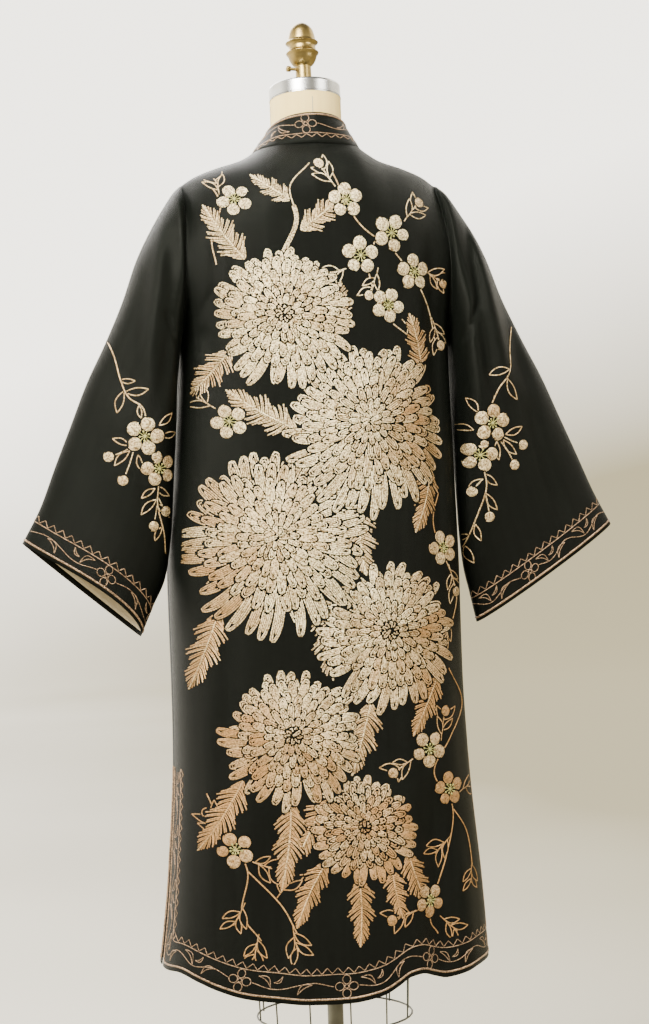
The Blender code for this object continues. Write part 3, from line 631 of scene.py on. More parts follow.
half = angles_between(0.0, 1.0, 56)
back_grid = body_point(1, np.concatenate([-half[:0:-1], half])[None, :], BODY_LEVELS[:, None])
back = walled(sheet_piece("back_panel", back_grid, robe_silk), FACE_WALL)
fronts = {}
for side, word in SIDES:
    start = np.arcsin(front_edge(BODY_LEVELS) ** (SQUARE / 2))[:, None]
    columns = np.sin(mix(start, math.pi / 2, np.linspace(0, 1, 40)[None, :])) ** (2 / SQUARE)
    grid = body_point(-1, side * np.minimum(columns, 1), BODY_LEVELS[:, None])
    fronts[side] = walled(sheet_piece(f"front_panel_{word}", grid, robe_silk, flip=side > 0), FACE_WALL)
print("body sheets", [len(piece.data.polygons) for piece in (back, *fronts.values())])

# %% [markdown]
# ## Sleeves and linings
# A sleeve is a tube of ringed stations from the armhole to the cuff. Inside the cuff a cream
# lining shows; it lies a seam's width inside the silk and stops just short of the edge, which is
# turned in over it.

# %% Sleeve tubes
sleeves, linings = {}, {}
ring_angles = np.linspace(0, math.tau, 120, endpoint=False)
sleeve_stations = np.linspace(0, LAST_STATION, 112)
lining_stations = np.linspace(LINING_FROM, LINING_TO, 34)


def tube_normals(grid, turn):
    around = np.roll(grid, -1, axis=1) - np.roll(grid, 1, axis=1)
    return unit(np.cross(around, np.gradient(grid, axis=0)) * turn)


def tube(name, grid, material, side, wall):
    return walled(sheet_piece(name, grid, material, loop=True, flip=side > 0), wall)


for side, word in SIDES:
    outer = sleeve_point(side, ring_angles[None, :], sleeve_stations[:, None])
    sleeves[side] = tube(f"sleeve_silk_{word}", outer, robe_silk, side, FACE_WALL)
    inner = sleeve_point(side, ring_angles[None, :], lining_stations[:, None])
    inner = inner - tube_normals(inner, -side) * (CLOTH + SEAM)
    linings[side] = tube(f"sleeve_lining_silk_{word}", inner, lining_silk, side, LINING_WALL)
print("sleeves", [len(piece.data.polygons) for piece in (*sleeves.values(), *linings.values())])

# %% [markdown]
# ## The collar band
# One straight band, folded and interlined, is sewn from the left front hem round the nape to the
# right front hem. Its inner edge stands up at the neck and lies flat on the chest. It is laid as
# sections between the seam and the free edge, with a little fullness between, and its own
# two-way coordinates (metres along, share across) later carry its border.

# %% Band
FULLNESS = 0.0007                    # how far the band swells between its seam and its edge


def band_grid(count=9):
    levels = BODY_LEVELS[1:]
    edge = front_edge(levels)
    seams, frees = [], []
    for side, _ in SIDES:
        low = body_point(-1, edge * side * (1 - BAND_WIDTH / NECK_HALF), levels)
        high = packed(*(BAND_EDGE.at(column, levels) for column in "xyz")) * (side, 1, 1)
        seams.append(body_point(-1, edge * side, levels))
        frees.append(np.where((levels < BAND_JOIN)[:, None], high, low))
    across = np.linspace(-1, 1, 34)[1:-1] * NECK_HALF / ARMHOLE_X
    turn = math.pi / 2 * across * ARMHOLE_X / NECK_HALF
    nape_free = packed(COLLAR_HALF_X * np.sin(turn), MID_Y + COLLAR_BACK_Y * np.cos(turn),
                       mix(COLLAR_SIDE_Z, COLLAR_BACK_Z, np.cos(turn)))
    nape_seam = body_point(1, across, 0.0)
    seam = np.concatenate([seams[0][::-1], nape_seam[::-1], seams[1]])
    free = np.concatenate([frees[0][::-1], nape_free[::-1], frees[1]])
    start = seam + unit(free - seam) * SEAM
    share = np.linspace(0, 1, count)[None, :, None]
    grid = mix(start[:, None], free[:, None], share)
    normals = unit(np.cross(np.gradient(grid, axis=1), np.gradient(grid, axis=0)) * -1)
    return grid + normals * FULLNESS * np.sin(math.pi * share)


def distance_along(points):
    """Metres from a line's first point to each of its points."""
    return np.pad(np.cumsum(np.linalg.norm(np.diff(points, axis=0), axis=1)), (1, 0))


band_points = band_grid()
band_run = distance_along(band_points[:, 4])
BAND_LENGTH = float(band_run[-1])
band = walled(sheet_piece("collar_band_silk", band_points, robe_silk, flip=True), BAND_WALL)


def band_at(s, share):
    """Point of the band at metres along from the left hem and share 0 seam to 1 free edge."""
    row = np.interp(np.clip(s, 0, BAND_LENGTH), band_run, np.arange(len(band_run)))
    column = np.clip(share, 0, 1) * (band_points.shape[1] - 1)
    i = np.minimum(row.astype(int), len(band_run) - 2)
    j = np.minimum(column.astype(int), band_points.shape[1] - 2)
    fi, fj = (row - i)[..., None], (column - j)[..., None]
    upper = mix(band_points[i, j], band_points[i, j + 1], fj)
    lower = mix(band_points[i + 1, j], band_points[i + 1, j + 1], fj)
    return mix(upper, lower, fi)


print("band length", round(BAND_LENGTH, 3), "m")

# %% [markdown]
# ## Couching tree
# Every thread in the embroidery has one recipe: a path on the cloth, a low rounded section swept
# along it, and a twist. Geometry Nodes suits this, because a few thousand paths go through one
# tree. The paths come in as edges whose points carry the cloth's normal, a half width and a tone;
# the tree turns them into curves, sweeps the section and stores how far along and round it goes.

# %% Build the couching tree
def named(tree, label, kind):
    made = add(tree, "GeometryNodeInputNamedAttribute", {"Name": label}, data_type=kind)
    return made.outputs["Attribute"]


def coated(tree, geometry, given, result):
    """The end of a tree: shaded smooth, made real and given its material."""
    for kind in ("GeometryNodeSetShadeSmooth", "GeometryNodeRealizeInstances"):
        geometry = add(tree, kind, {"Geometry": geometry}).outputs[0]
    coat = add(tree, "GeometryNodeSetMaterial", {"Geometry": geometry, "Material": given["Material"]})
    tree.links.new(coat.outputs[0], result[0])
    return tree


def build_couching_tree():
    tree, given, result = new_tree(
        "couched thread", "GeometryNodeTree",
        [("Paths", "Geometry"), ("Roundness", "Float", 0.9), ("Section Points", "Int", 3),
         ("Material", "Material")], [("Threads", "Geometry")])

    def stored(label, geometry, reading):
        value = add(tree, "GeometryNodeSplineParameter").outputs[reading]
        return add(tree, "GeometryNodeStoreNamedAttribute",
                   {"Name": label, "Geometry": geometry, "Value": value}).outputs[0]

    curves = add(tree, "GeometryNodeMeshToCurve", {"Mesh": given["Paths"]}).outputs[0]
    upright = add(tree, "GeometryNodeSetCurveNormal",
                  {"Curve": curves, "Normal": named(tree, "up", "FLOAT_VECTOR")}, mode="FREE").outputs[0]
    section = add(tree, "GeometryNodeCurveArc", {"Resolution": given["Section Points"], "Radius": 1.0,
                                                 "Start Angle": -math.pi / 2, "Sweep Angle": math.pi})
    shape = add(tree, "ShaderNodeCombineXYZ", {"X": given["Roundness"], "Y": 1.0, "Z": 1.0}).outputs[0]
    flat = add(tree, "GeometryNodeTransform", {"Geometry": section.outputs[0], "Scale": shape}).outputs[0]
    sweep = add(tree, "GeometryNodeCurveToMesh", {"Curve": stored("along", upright, "Length"),
                                                  "Profile Curve": stored("round", flat, "Factor"),
                                                  "Scale": named(tree, "half_width", "FLOAT")})
    return coated(tree, sweep.outputs[0], given, result)


couching_tree = build_couching_tree()
print(couching_tree.name, len(couching_tree.nodes), "nodes")

# %% Run a tree, and the knots' tree
def run_tree(piece, tree, **values):
    """Evaluate a node tree on a piece and keep the result as its plain mesh."""
    modifier = piece.modifiers.new("tree", "NODES")
    modifier.node_group = tree
    for item in tree.interface.items_tree:
        if item.item_type == "SOCKET" and item.in_out == "INPUT" and item.name in values:
            modifier[item.identifier] = values[item.name]
    evaluated = piece.evaluated_get(bpy.context.evaluated_depsgraph_get())
    mesh = bpy.data.meshes.new_from_object(evaluated)
    piece.modifiers.remove(modifier)
    old, piece.data = piece.data, mesh
    bpy.data.meshes.remove(old)
    return piece


def build_knot_tree():
    """French knots: one small dome on each point, standing along the point's own normal."""
    tree, given, result = new_tree(
        "knots", "GeometryNodeTree",
        [("Places", "Geometry"), ("Knot Radius", "Float", 0.0016), ("Flatness", "Float", 0.7),
         ("Material", "Material")], [("Knots", "Geometry")])
    ball = add(tree, "GeometryNodeMeshUVSphere",
               {"Segments": 7, "Rings": 5, "Radius": given["Knot Radius"]})
    aim = add(tree, "FunctionNodeAlignRotationToVector",
              {"Vector": named(tree, "up", "FLOAT_VECTOR")}, axis="Z")
    squash = add(tree, "ShaderNodeCombineXYZ", {"X": 1.0, "Y": 1.0, "Z": given["Flatness"]})
    points = add(tree, "GeometryNodeMeshToPoints", {"Mesh": given["Places"]})
    spread = add(tree, "GeometryNodeInstanceOnPoints",
                 {"Points": points.outputs[0], "Instance": ball.outputs["Mesh"],
                  "Rotation": aim.outputs[0], "Scale": squash.outputs[0]})
    return coated(tree, spread.outputs[0], given, result)


knot_tree = build_knot_tree()
print(knot_tree.name, len(knot_tree.nodes), "nodes")

# %% Strands: from drawn paths to thread
Strand = namedtuple("Strand", "path half_width lift tone")
THREAD = 0.0010            # half width of the common couched thread
SPRAY_STEP, BORDER_STEP = 0.0026, 0.0022
SINK = 0.0002              # how far a thread's edges press into the silk
KNOT_LIFT = 0.0030


def resampled(path, step):
    path = np.asarray(path, float)
    run = distance_along(path)
    where = np.linspace(0, run[-1], max(2, int(round(run[-1] / step)) + 1))
    return np.stack([np.interp(where, run, column) for column in path.T], axis=1)


def attributed_mesh(name, points, edges, up, **numbers):
    """Loose points or edges that carry the cloth's normal and other numbers for a tree."""
    mesh = bpy.data.meshes.new(name)
    mesh.from_pydata(points.tolist(), edges, [])
    mesh.attributes.new("up", "FLOAT_VECTOR", "POINT").data.foreach_set("vector", up.reshape(-1))
    for label, values in numbers.items():
        mesh.attributes.new(label, "FLOAT", "POINT").data.foreach_set("value", values)
    return mesh


def threads(name, strands, place, turn, material, step=0.004, roundness=0.9, points=3):
    """Lay strands on a surface and sweep them. place takes the two drawing coordinates."""
    paths = [resampled(strand.path, step) for strand in strands]
    sizes = [len(path) for path in paths]
    flat = np.concatenate(paths)
    half_width, lift, tone = (np.repeat([getattr(strand, label) for strand in strands], sizes)
                              for label in ("half_width", "lift", "tone"))
    position, up = with_normals(place, flat[:, 0], flat[:, 1], turn)
    position = position + up * (lift - SINK)[:, None]
    first = np.setdiff1d(np.arange(len(flat)), np.cumsum(sizes) - 1)
    mesh = attributed_mesh(name, position, np.stack([first, first + 1], axis=1).tolist(), up,
                           half_width=half_width, tone=tone)
    piece = link_mesh(name, mesh, material)
    run_tree(piece, couching_tree, Roundness=roundness, Material=material, **{"Section Points": points})
    piece.data.update()
    triangles = sum(len(face.vertices) - 2 for face in piece.data.polygons)
    print(name, len(strands), "strands,", triangles, "triangles")
    return piece


def knots(name, places, place, turn, material):
    """A knot on the surface at each drawn place."""
    flat = np.array(places)
    position, up = with_normals(place, flat[:, 0], flat[:, 1], turn)
    mesh = attributed_mesh(name, position + up * KNOT_LIFT, [], up)
    piece = run_tree(link_mesh(name, mesh, material), knot_tree, Material=material)
    print(name, len(places), "knots,", len(piece.data.polygons), "faces")
    return piece


# %% [markdown]
# ## Drawing with thread
# Dense goldwork is laid shape by shape, and where two shapes meet, the lower one simply stops at
# the edge of the upper. The drawing does the same: shapes are drawn from the topmost down, a
# small map remembers the ground that is taken, and each new thread is cut where it would run
# under what already lies there. Crossing threads would look like a wire tangle instead.

# %% Ground map
CELL = 0.001


class Ground:
    """A map of the drawing plane that knows where something already lies."""

    def __init__(self, low, high, inside):
        self.inside = inside
        self.low = np.array(low)
        size = np.ceil((np.array(high) - self.low) / CELL).astype(int)
        self.taken = np.zeros(size, bool)

    def free(self, path):
        cells = np.clip(((path - self.low) / CELL).astype(int), 0, np.array(self.taken.shape) - 1)
        return ~self.taken[cells[:, 0], cells[:, 1]] & self.inside(path[:, 0], path[:, 1])

    def cover(self, outline):
        """Mark a closed outline's inside, by counting its edges to the right of each cell."""
        first = np.maximum(((outline.min(axis=0) - self.low) / CELL).astype(int) - 1, 0)
        last = np.minimum(((outline.max(axis=0) - self.low) / CELL).astype(int) + 2, self.taken.shape)
        if np.any(last <= first):
            return
        xs = self.low[0] + (np.arange(first[0], last[0]) + 0.5) * CELL
        zs = self.low[1] + (np.arange(first[1], last[1]) + 0.5) * CELL
        here, there = outline, np.roll(outline, -1, axis=0)
        spans = (here[:, 1] > zs[:, None]) != (there[:, 1] > zs[:, None])
        rise = np.where(there[:, 1] == here[:, 1], 1, there[:, 1] - here[:, 1])
        cuts = here[:, 0] + (zs[:, None] - here[:, 1]) * (there[:, 0] - here[:, 0]) / rise
        inside = ((xs[:, None, None] < cuts[None]) & spans[None]).sum(axis=2) % 2 == 1
        self.taken[first[0]:last[0], first[1]:last[1]] |= inside

    def lay(self, shape_strands, outline=None):
        """Keep what shows of the strands, then mark their shape as taken."""
        kept = []
        for strand in shape_strands:
            path = resampled(strand.path, 0.0015)
            free = self.free(path)
            edges = np.flatnonzero(np.diff(np.pad(free.astype(int), 1)))
            for start, end in zip(edges[::2], edges[1::2]):
                if end - start >= 3:
                    kept.append(strand._replace(path=path[start:end]))
        if outline is not None:
            self.cover(outline)
        return kept


print("ground cells of", CELL, "m")

# %% [markdown]
# ## Motifs
# The motifs are the common ones of robe borders and sprays: plum blossoms with five round padded
# petals, buds, open outlined leaves, twigs, and for the large field full chrysanthemum heads with
# cut leaves. Each motif is a function that gives its strands, and its outline where it hides what
# is behind it.

# %% Petals and chrysanthemums
PITCH, LEAF_PITCH, SPIRAL_PITCH = 0.0023, 0.0031, 0.0019
PETAL_GAP = 0.0009         # black left showing round each petal
PETAL_PAD, BUD_PAD, BUD_RADIUS = 0.0026, 0.0018, 0.0085
STAMENS, STAMEN_LIFT = 9, 0.0028
TWIG_WIDTH, TWIG_END = 0.0034, 0.0012
rng = np.random.default_rng(7)


def polar(angle, reach):
    return np.stack([np.cos(angle), np.sin(angle)], axis=1) * reach


def direction(angle):
    return np.array([math.cos(angle), math.sin(angle)])


def spine_frame(spine):
    """Sideways unit vectors along a drawn line."""
    ahead = unit(np.gradient(spine, axis=0))
    return np.stack([-ahead[:, 1], ahead[:, 0]], axis=1)


def both_sides(spine, sideways, half_width):
    """The closed line at a half width on either side of a drawn line."""
    out = sideways * half_width[:, None]
    return np.concatenate([spine + out, (spine - out)[::-1]])


def nested_petal(spine, half_width, tone, lift, inner_lift=0.00035):
    """A petal filled with loops one inside the other, from a centre line and half widths."""
    sideways = spine_frame(spine)
    length = np.linalg.norm(np.diff(spine, axis=0), axis=1).sum()
    t = np.linspace(0, 1, len(spine))
    strands = []
    loops = max(1, round(half_width.max() / PITCH))
    pitch = half_width.max() / loops
    for k in range(loops):
        inset = (k + 0.5) * pitch
        width = half_width - inset
        use = (width > 0) & (t < 1 - inset / length)
        if use.sum() >= 4:
            path = both_sides(spine[use], sideways[use], width[use])
            strands.append(Strand(path, THREAD, lift + k * inner_lift, tone + 0.05 * k))
    return strands, both_sides(spine, sideways, half_width + PETAL_GAP)


def curled_spine(centre, angle, inner, outer, curl, count=18):
    t = np.linspace(0, 1, count)
    return centre + polar(angle + curl * t ** 2, mix(inner, outer, t)[:, None])


Ring = namedtuple("Ring", "inner outer petal_width curl")
HEAD_RINGS = [
    Ring(0.00, 0.15, 0.0090, 1.2),
    Ring(0.02, 0.30, 0.0118, 0.9),
    Ring(0.10, 0.47, 0.0140, 0.5),
    Ring(0.20, 0.66, 0.0160, 0.4),
    Ring(0.34, 0.85, 0.0180, 0.4),
    Ring(0.50, 1.06, 0.0190, 0.6),
]


def chrysanthemum(ground, centre, radius, tone_at):
    """A full head: short curled petals at the eye, longer ones behind, the last ones ragged."""
    centre = np.array(centre)
    scale = math.sqrt(radius / 0.12)
    made = []
    for level, ring in enumerate(HEAD_RINGS):
        last = level == len(HEAD_RINGS) - 1
        middle = mix(ring.inner, ring.outer, 0.72) * radius
        petal_width = ring.petal_width * scale
        count = max(6, int(math.tau * middle / (petal_width * 0.84)))
        start = rng.uniform(0, math.tau)
        for k in range(count):
            angle = start + math.tau * (k + rng.uniform(-0.16, 0.16)) / count
            droop = 1 - 0.10 * math.sin(angle) if last else 1.0
            outer = ring.outer * radius * rng.uniform(0.90, 1.06) * droop
            curl = ring.curl * rng.uniform(0.5, 1.4) * (1 if rng.random() < 0.8 else -0.6)
            spine = curled_spine(centre, angle, ring.inner * radius, outer, curl * petal_width * 9)
            t = np.linspace(0, 1, len(spine))
            width = petal_width / 2 * (0.45 + 0.55 * t ** 0.7) * (1 - t ** 5) ** 0.6
            tone = tone_at(spine[-1]) + rng.uniform(-0.18, 0.22) + 0.04 * (5 - level)
            made += ground.lay(*nested_petal(spine, width, tone, lift=0.0022 - 0.00035 * level))
    return made


print("petals in", len(HEAD_RINGS), "rings")

# %% Leaves and stems
def curve_through(points, count=60):
    """A smooth line through a few drawn points (Catmull-Rom)."""
    points = np.array(points, float)
    padded = np.concatenate([[2 * points[0] - points[1]], points, [2 * points[-1] - points[-2]]])
    pieces = []
    for k in range(len(points) - 1):
        before, here, there, after = padded[k:k + 4]
        t = np.linspace(0, 1, max(4, count // (len(points) - 1)), endpoint=False)[:, None]
        pieces.append(0.5 * (2 * here + (there - before) * t
                             + (2 * before - 5 * here + 4 * there - after) * t ** 2
                             + (3 * here - before - 3 * there + after) * t ** 3))
    return np.concatenate(pieces + [points[-1:]])


def cut_leaf(ground, base, angle, length, width, tone):
    """A lobed leaf in herringbone: slanting threads from the midrib to a notched margin."""
    bend = rng.uniform(-0.35, 0.35)
    t = np.linspace(0, 1, 90)
    last = len(t) - 1
    steps = polar(angle + bend * (t - 0.5), length) / last
    spine = np.array(base) + np.cumsum(steps, axis=0)
    lobes = 1 + 0.26 * np.sin(math.tau * (3.6 * t ** 0.9 + 0.10))
    half_width = width / 2 * 1.75 * t ** 0.5 * (1 - t) ** 0.75 * lobes
    sideways = spine_frame(spine)
    strands = [Strand(spine, THREAD * 1.1, 0.0013, tone - 0.25)]
    count = int(length / LEAF_PITCH)

    def along_leaf(values, place):
        return np.interp(place, np.arange(len(t)), values)

    for side in (1, -1):
        for k in range(count):
            start = k / count
            end = min(0.995, start + 0.13)
            reach = np.linspace(0.0012 / width, 1, 10)
            index = mix(start, end, reach ** 1.3) * last
            centre, across = (np.stack([along_leaf(column, index) for column in line.T], axis=1)
                              for line in (spine, sideways))
            limit = along_leaf(half_width, end * last) * (1 - 0.14 * (k % 2))
            path = centre + across * (side * reach * limit)[:, None]
            strands.append(Strand(path, THREAD * 0.95, 0.0006, tone + 0.12 * (k % 3)))
    return ground.lay(strands, both_sides(spine, sideways, half_width))


def stem(ground, points, start_width, end_width, tone):
    """A branch of parallel threads that taper to one."""
    spine = curve_through(points, 120)
    sideways = spine_frame(spine)
    half_width = mix(start_width, end_width, np.linspace(0, 1, len(spine))) / 2
    strands = []
    lanes = int(start_width / 2 / PITCH) + 1
    for k in range(-lanes, lanes + 1):
        use = np.abs(k) * PITCH <= half_width
        if use.sum() > 4:
            path = (spine + sideways * k * PITCH)[use]
            strands.append(Strand(path, THREAD, 0.0006 - 0.0001 * abs(k), tone + 0.06 * (k % 2)))
    return ground.lay(strands, both_sides(spine, sideways, half_width))


print("herringbone every", LEAF_PITCH, "m, branch threads every", PITCH, "m")

# %% Blossoms, buds and sprigs
def circle(centre, radius, count=24):
    return np.array(centre) + polar(np.linspace(0, math.tau, count, endpoint=False), radius)


def spiral_disc(ground, centre, radius, pad, tone):
    """A round padded petal or bud: one thread couched in a spiral, highest in the middle."""
    turns = radius / SPIRAL_PITCH
    turn = np.linspace(0, math.tau * turns, int(turns * 14))
    reach = (radius - THREAD) * turn / turn[-1]
    path = np.array(centre) + polar(turn + rng.uniform(0, math.tau), reach[:, None])
    kept = []
    size = 7
    for k in range(0, len(path) - 1, size):
        share = reach[min(k + size // 2, len(reach) - 1)] / radius
        # the tone turns copper towards the middle and towards the rim; at the rim this is painted shade,
        # where the padded petal falls away
        shade = tone + 0.55 * max(0, 1 - share * 3.2) + 0.30 * share ** 4
        part = Strand(path[k:k + size + 1], 0.00092, pad * (1 - share ** 2), shade)
        if ground.free(part.path).all():
            kept.append(part)
    ground.cover(circle(centre, radius + 0.0003))
    return kept


def blossom(ground, centre, radius, tone, knots, stamens):
    """A plum blossom: five padded petals, with knotted stamens over their middle."""
    centre = np.array(centre)
    start = rng.uniform(0, math.tau / 5)
    made = []
    for k in range(STAMENS):
        tip = centre + direction(start + math.tau * k / STAMENS) * (radius * rng.uniform(0.20, 0.34))
        stamens.append(Strand(np.array([centre, tip]), THREAD / 2, STAMEN_LIFT, 0.3))
        knots.append(tuple(tip))
    for k in range(5):
        petal = centre + direction(start + math.tau * k / 5) * radius * 0.60
        made += spiral_disc(ground, petal, radius * 0.375, PETAL_PAD, tone + rng.uniform(-0.12, 0.12))
    return made


def open_leaf(ground, base, angle, length, tone):
    """A small leaf drawn only in outline, with its two sides crossing at the tip."""
    t = np.linspace(0, 1, 12)[:, None]
    across, ahead = direction(angle + math.pi / 2), direction(angle)
    bow = across * (np.sin(math.pi * t) * length * 0.17)
    middle = np.array(base) + ahead * (t * length) + across * (np.sin(math.pi * t * 0.9) * length * 0.06)
    return ground.lay([Strand(middle + sign * bow, 0.0008, 0.0002, tone) for sign in (1, -1)],
                      np.concatenate([middle + bow, (middle - bow)[::-1]]))


def sprig(ground, base, angle, length, tone, bud=True, leaves=4):
    """A short stalk with outlined leaves on both sides and often a bud at its end."""
    bend = rng.uniform(-0.5, 0.5)
    base = np.array(base)
    tip = base + direction(angle + bend * 0.4) * length
    middle = mix(base, tip, 0.5) + direction(angle + math.pi / 2) * length * 0.10 * bend
    spine = curve_through([base, middle, tip], 24)
    made = []
    if bud:
        made += spiral_disc(ground, tip + direction(angle) * 0.007, BUD_RADIUS, BUD_PAD, tone)
    for k in range(leaves):
        where = spine[int((0.25 + 0.62 * k / max(1, leaves - 1)) * (len(spine) - 1))]
        lean = (0.55 + 0.15 * rng.random()) * (1 if k % 2 else -1)
        made += open_leaf(ground, where, angle + lean, rng.uniform(0.023, 0.032), tone + 0.05)
    return made + ground.lay([Strand(spine, 0.0009, 0.0001, tone)])


print("blossoms with", STAMENS, "stamens, spirals every", SPIRAL_PITCH, "m")

# %% [markdown]
# ## The large field on the back
# The back carries the main field: a dense pale mass of thread that runs from the shoulders to
# below the knee and thins out into sprays on black ground. Its design here is a general one, a
# cascade of chrysanthemums on one bending stem, with plum sprays around it. Tone follows the
# robe: pale silver-gold along the middle, warmer copper-gold towards the sides and lower end.

# %% Layout tables
HEADS = [    # x, z, radius
    (0.068, 1.335, 0.098), (-0.055, 1.175, 0.122), (0.092, 1.010, 0.128), (-0.072, 0.868, 0.104),
    (0.078, 0.722, 0.098), (-0.022, 0.585, 0.076),
]
LEAVES = [    # x, z, degrees, length, width
    (0.120, 1.415, 58, 0.100, 0.050), (0.040, 1.455, 142, 0.088, 0.044),
    (0.052, 1.500, 40, 0.066, 0.036), (0.145, 1.285, -48, 0.085, 0.050),
    (-0.010, 1.300, 95, 0.080, 0.050), (-0.140, 1.250, 78, 0.085, 0.044),
    (0.055, 1.165, 32, 0.115, 0.056), (-0.150, 1.105, -72, 0.100, 0.050),
    (-0.030, 1.050, -95, 0.100, 0.058), (0.175, 0.905, -70, 0.120, 0.052),
    (0.020, 0.905, -92, 0.105, 0.056), (-0.150, 0.800, -62, 0.100, 0.046),
    (-0.040, 0.765, -72, 0.110, 0.056), (0.150, 0.660, -58, 0.120, 0.050),
    (0.085, 0.630, -82, 0.130, 0.052), (0.030, 0.630, -60, 0.100, 0.052),
    (-0.085, 0.545, -110, 0.095, 0.044), (-0.010, 0.515, -88, 0.100, 0.048),
    (0.035, 0.540, -62, 0.105, 0.044), (-0.060, 0.520, -100, 0.070, 0.040),
]
STEMS = [
    ([(0.068, 1.420), (0.045, 1.470), (0.052, 1.520), (0.020, 1.556)], 0.007, 0.002),
    ([(0.068, 1.335), (0.040, 1.240), (-0.055, 1.175), (-0.020, 1.080), (0.092, 1.010)], 0.016, 0.014),
    ([(0.092, 1.010), (0.040, 0.920), (-0.072, 0.868), (-0.030, 0.790), (0.078, 0.722)], 0.014, 0.011),
    ([(0.078, 0.722), (0.050, 0.650), (-0.022, 0.585)], 0.010, 0.008),
]
BLOOMS = [    # x, z, radius
    (-0.098, 1.452, 0.030), (-0.132, 1.395, 0.029), (-0.048, 1.418, 0.030), (-0.088, 1.345, 0.028),
    (-0.030, 1.500, 0.028), (0.150, 1.180, 0.027), (-0.168, 0.985, 0.028), (-0.128, 0.690, 0.029),
    (-0.160, 0.628, 0.027), (0.165, 0.560, 0.028), (-0.118, 0.470, 0.026), (0.130, 1.505, 0.026),
]
TWIGS = [
    [(-0.005, 1.560), (-0.045, 1.470), (-0.105, 1.420), (-0.155, 1.350), (-0.172, 1.290)],
    [(-0.075, 1.450), (-0.060, 1.395), (-0.085, 1.330), (-0.120, 1.300)],
    [(0.168, 1.550), (0.150, 1.500), (0.165, 1.450), (0.160, 1.410)],
    [(-0.166, 1.068), (-0.152, 1.022), (-0.172, 0.968), (-0.193, 0.915), (-0.176, 0.860)],
    [(-0.170, 0.806), (-0.197, 0.752), (-0.166, 0.702), (-0.135, 0.655), (-0.165, 0.600),
     (-0.150, 0.530), (-0.118, 0.450), (-0.130, 0.420)],
    [(-0.165, 0.600), (-0.190, 0.560), (-0.198, 0.500)],
    [(0.200, 0.640), (0.178, 0.585), (0.150, 0.530), (0.160, 0.470), (0.135, 0.430)],
    [(0.150, 0.530), (0.105, 0.480), (0.085, 0.440)],
]
SPRIGS = [    # x, z, degrees, length, and whether a bud ends it
    (-0.120, 1.470, 140, 0.037, True), (-0.152, 1.400, 205, 0.033, True),
    (-0.075, 1.400, 300, 0.037, True), (-0.030, 1.400, 330, 0.035, True),
    (-0.110, 1.325, 215, 0.037, True), (-0.165, 1.330, 255, 0.037, True),
    (-0.015, 1.520, 60, 0.035, True), (0.150, 1.515, 80, 0.030, True), (0.168, 1.200, 40, 0.033, True),
    (-0.178, 0.960, 250, 0.037, True), (-0.180, 0.880, 300, 0.043, False),
    (-0.105, 0.680, 330, 0.035, True), (-0.150, 0.700, 110, 0.037, True),
    (-0.180, 0.620, 170, 0.035, True), (-0.160, 0.560, 320, 0.037, False),
    (-0.098, 0.460, 340, 0.037, True), (-0.135, 0.445, 220, 0.037, False),
    (-0.196, 0.520, 280, 0.035, False), (0.185, 0.575, 60, 0.033, True),
    (0.148, 0.545, 200, 0.037, True), (0.155, 0.485, 300, 0.037, False),
    (0.110, 0.490, 120, 0.035, True), (0.090, 0.450, 250, 0.037, False),
    (0.138, 0.440, 280, 0.035, False),
]
print(len(HEADS), "heads,", len(LEAVES), "leaves,", len(BLOOMS), "blossoms,", len(SPRIGS), "sprigs")

# %% Draw the field
LINE_IN = 0.042            # the border's inner line, from the hem's edge
FIELD_TOP_Z = 1.578


def back_tone(point):
    """0 is pale silver-gold, 1 is copper-gold."""
    x, z = point
    side = ease(0.06, 0.21, abs(x - 0.02))
    return 0.02 + 0.55 * side + 0.80 * (1 - ease(0.40, 1.00, z))


def inside_back(x, z):
    """Clear of the side seams, armholes, neckline and the hem's border."""
    across = body_across(x, z)
    top = np.minimum(SHOULDER.at("z", np.abs(x)) - 0.012, FIELD_TOP_Z)
    high = (np.abs(x) < ARMHOLE_X - 0.006) & (z < top)
    low = (np.abs(across) < 0.95) & (z > HEM.at("back", across) + LINE_IN + 0.014)
    return np.where(z > ARMPIT_Z, high, low)


def on_back(x, z):
    return body_at(1, x, z)


back_ground = Ground((-0.26, 0.30), (0.28, 1.64), inside_back)
heads, leaves, sprays, stamens, knot_places = [], [], [], [], []
for x, z, radius in BLOOMS:
    sprays += blossom(back_ground, (x, z), radius, back_tone((x, z)) - 0.15, knot_places, stamens)
for x, z, radius in HEADS:
    heads += chrysanthemum(back_ground, (x, z), radius, back_tone)
for path, thick, thin in STEMS:
    leaves += stem(back_ground, path, thick, thin, 0.35)
for x, z, degrees, length, width in LEAVES:
    leaves += cut_leaf(back_ground, (x, z), math.radians(degrees), length, width,
                       back_tone((x, z)) + 0.30)
for x, z, degrees, length, bud in SPRIGS:
    sprays += sprig(back_ground, (x, z), math.radians(degrees), length, back_tone((x, z)) + 0.1, bud)
for path in TWIGS:
    sprays += stem(back_ground, path, TWIG_WIDTH, TWIG_END, back_tone(path[2]) + 0.35)
field_pieces = [threads("field_chrysanthemums", heads, on_back, -1, silver_thread),
                threads("field_leaves", leaves, on_back, -1, silver_thread),
                threads("field_sprays", sprays, on_back, -1, silver_thread, step=SPRAY_STEP),
                threads("field_stamens", stamens, on_back, -1, stamen_thread),
                knots("field_knots", knot_places, on_back, -1, stamen_thread)]

# %% [markdown]
# ## Borders
# Hem, side vents, cuffs and front band share one border: a thick gold cord near the edge, a
# scrolling vine with crescent leaves and open four-petal flowers, then a straight line with a
# row of teeth that point away from the edge. It is drawn once against any edge: a function of
# the distance from the edge gives a route, and each part of the border follows a route.

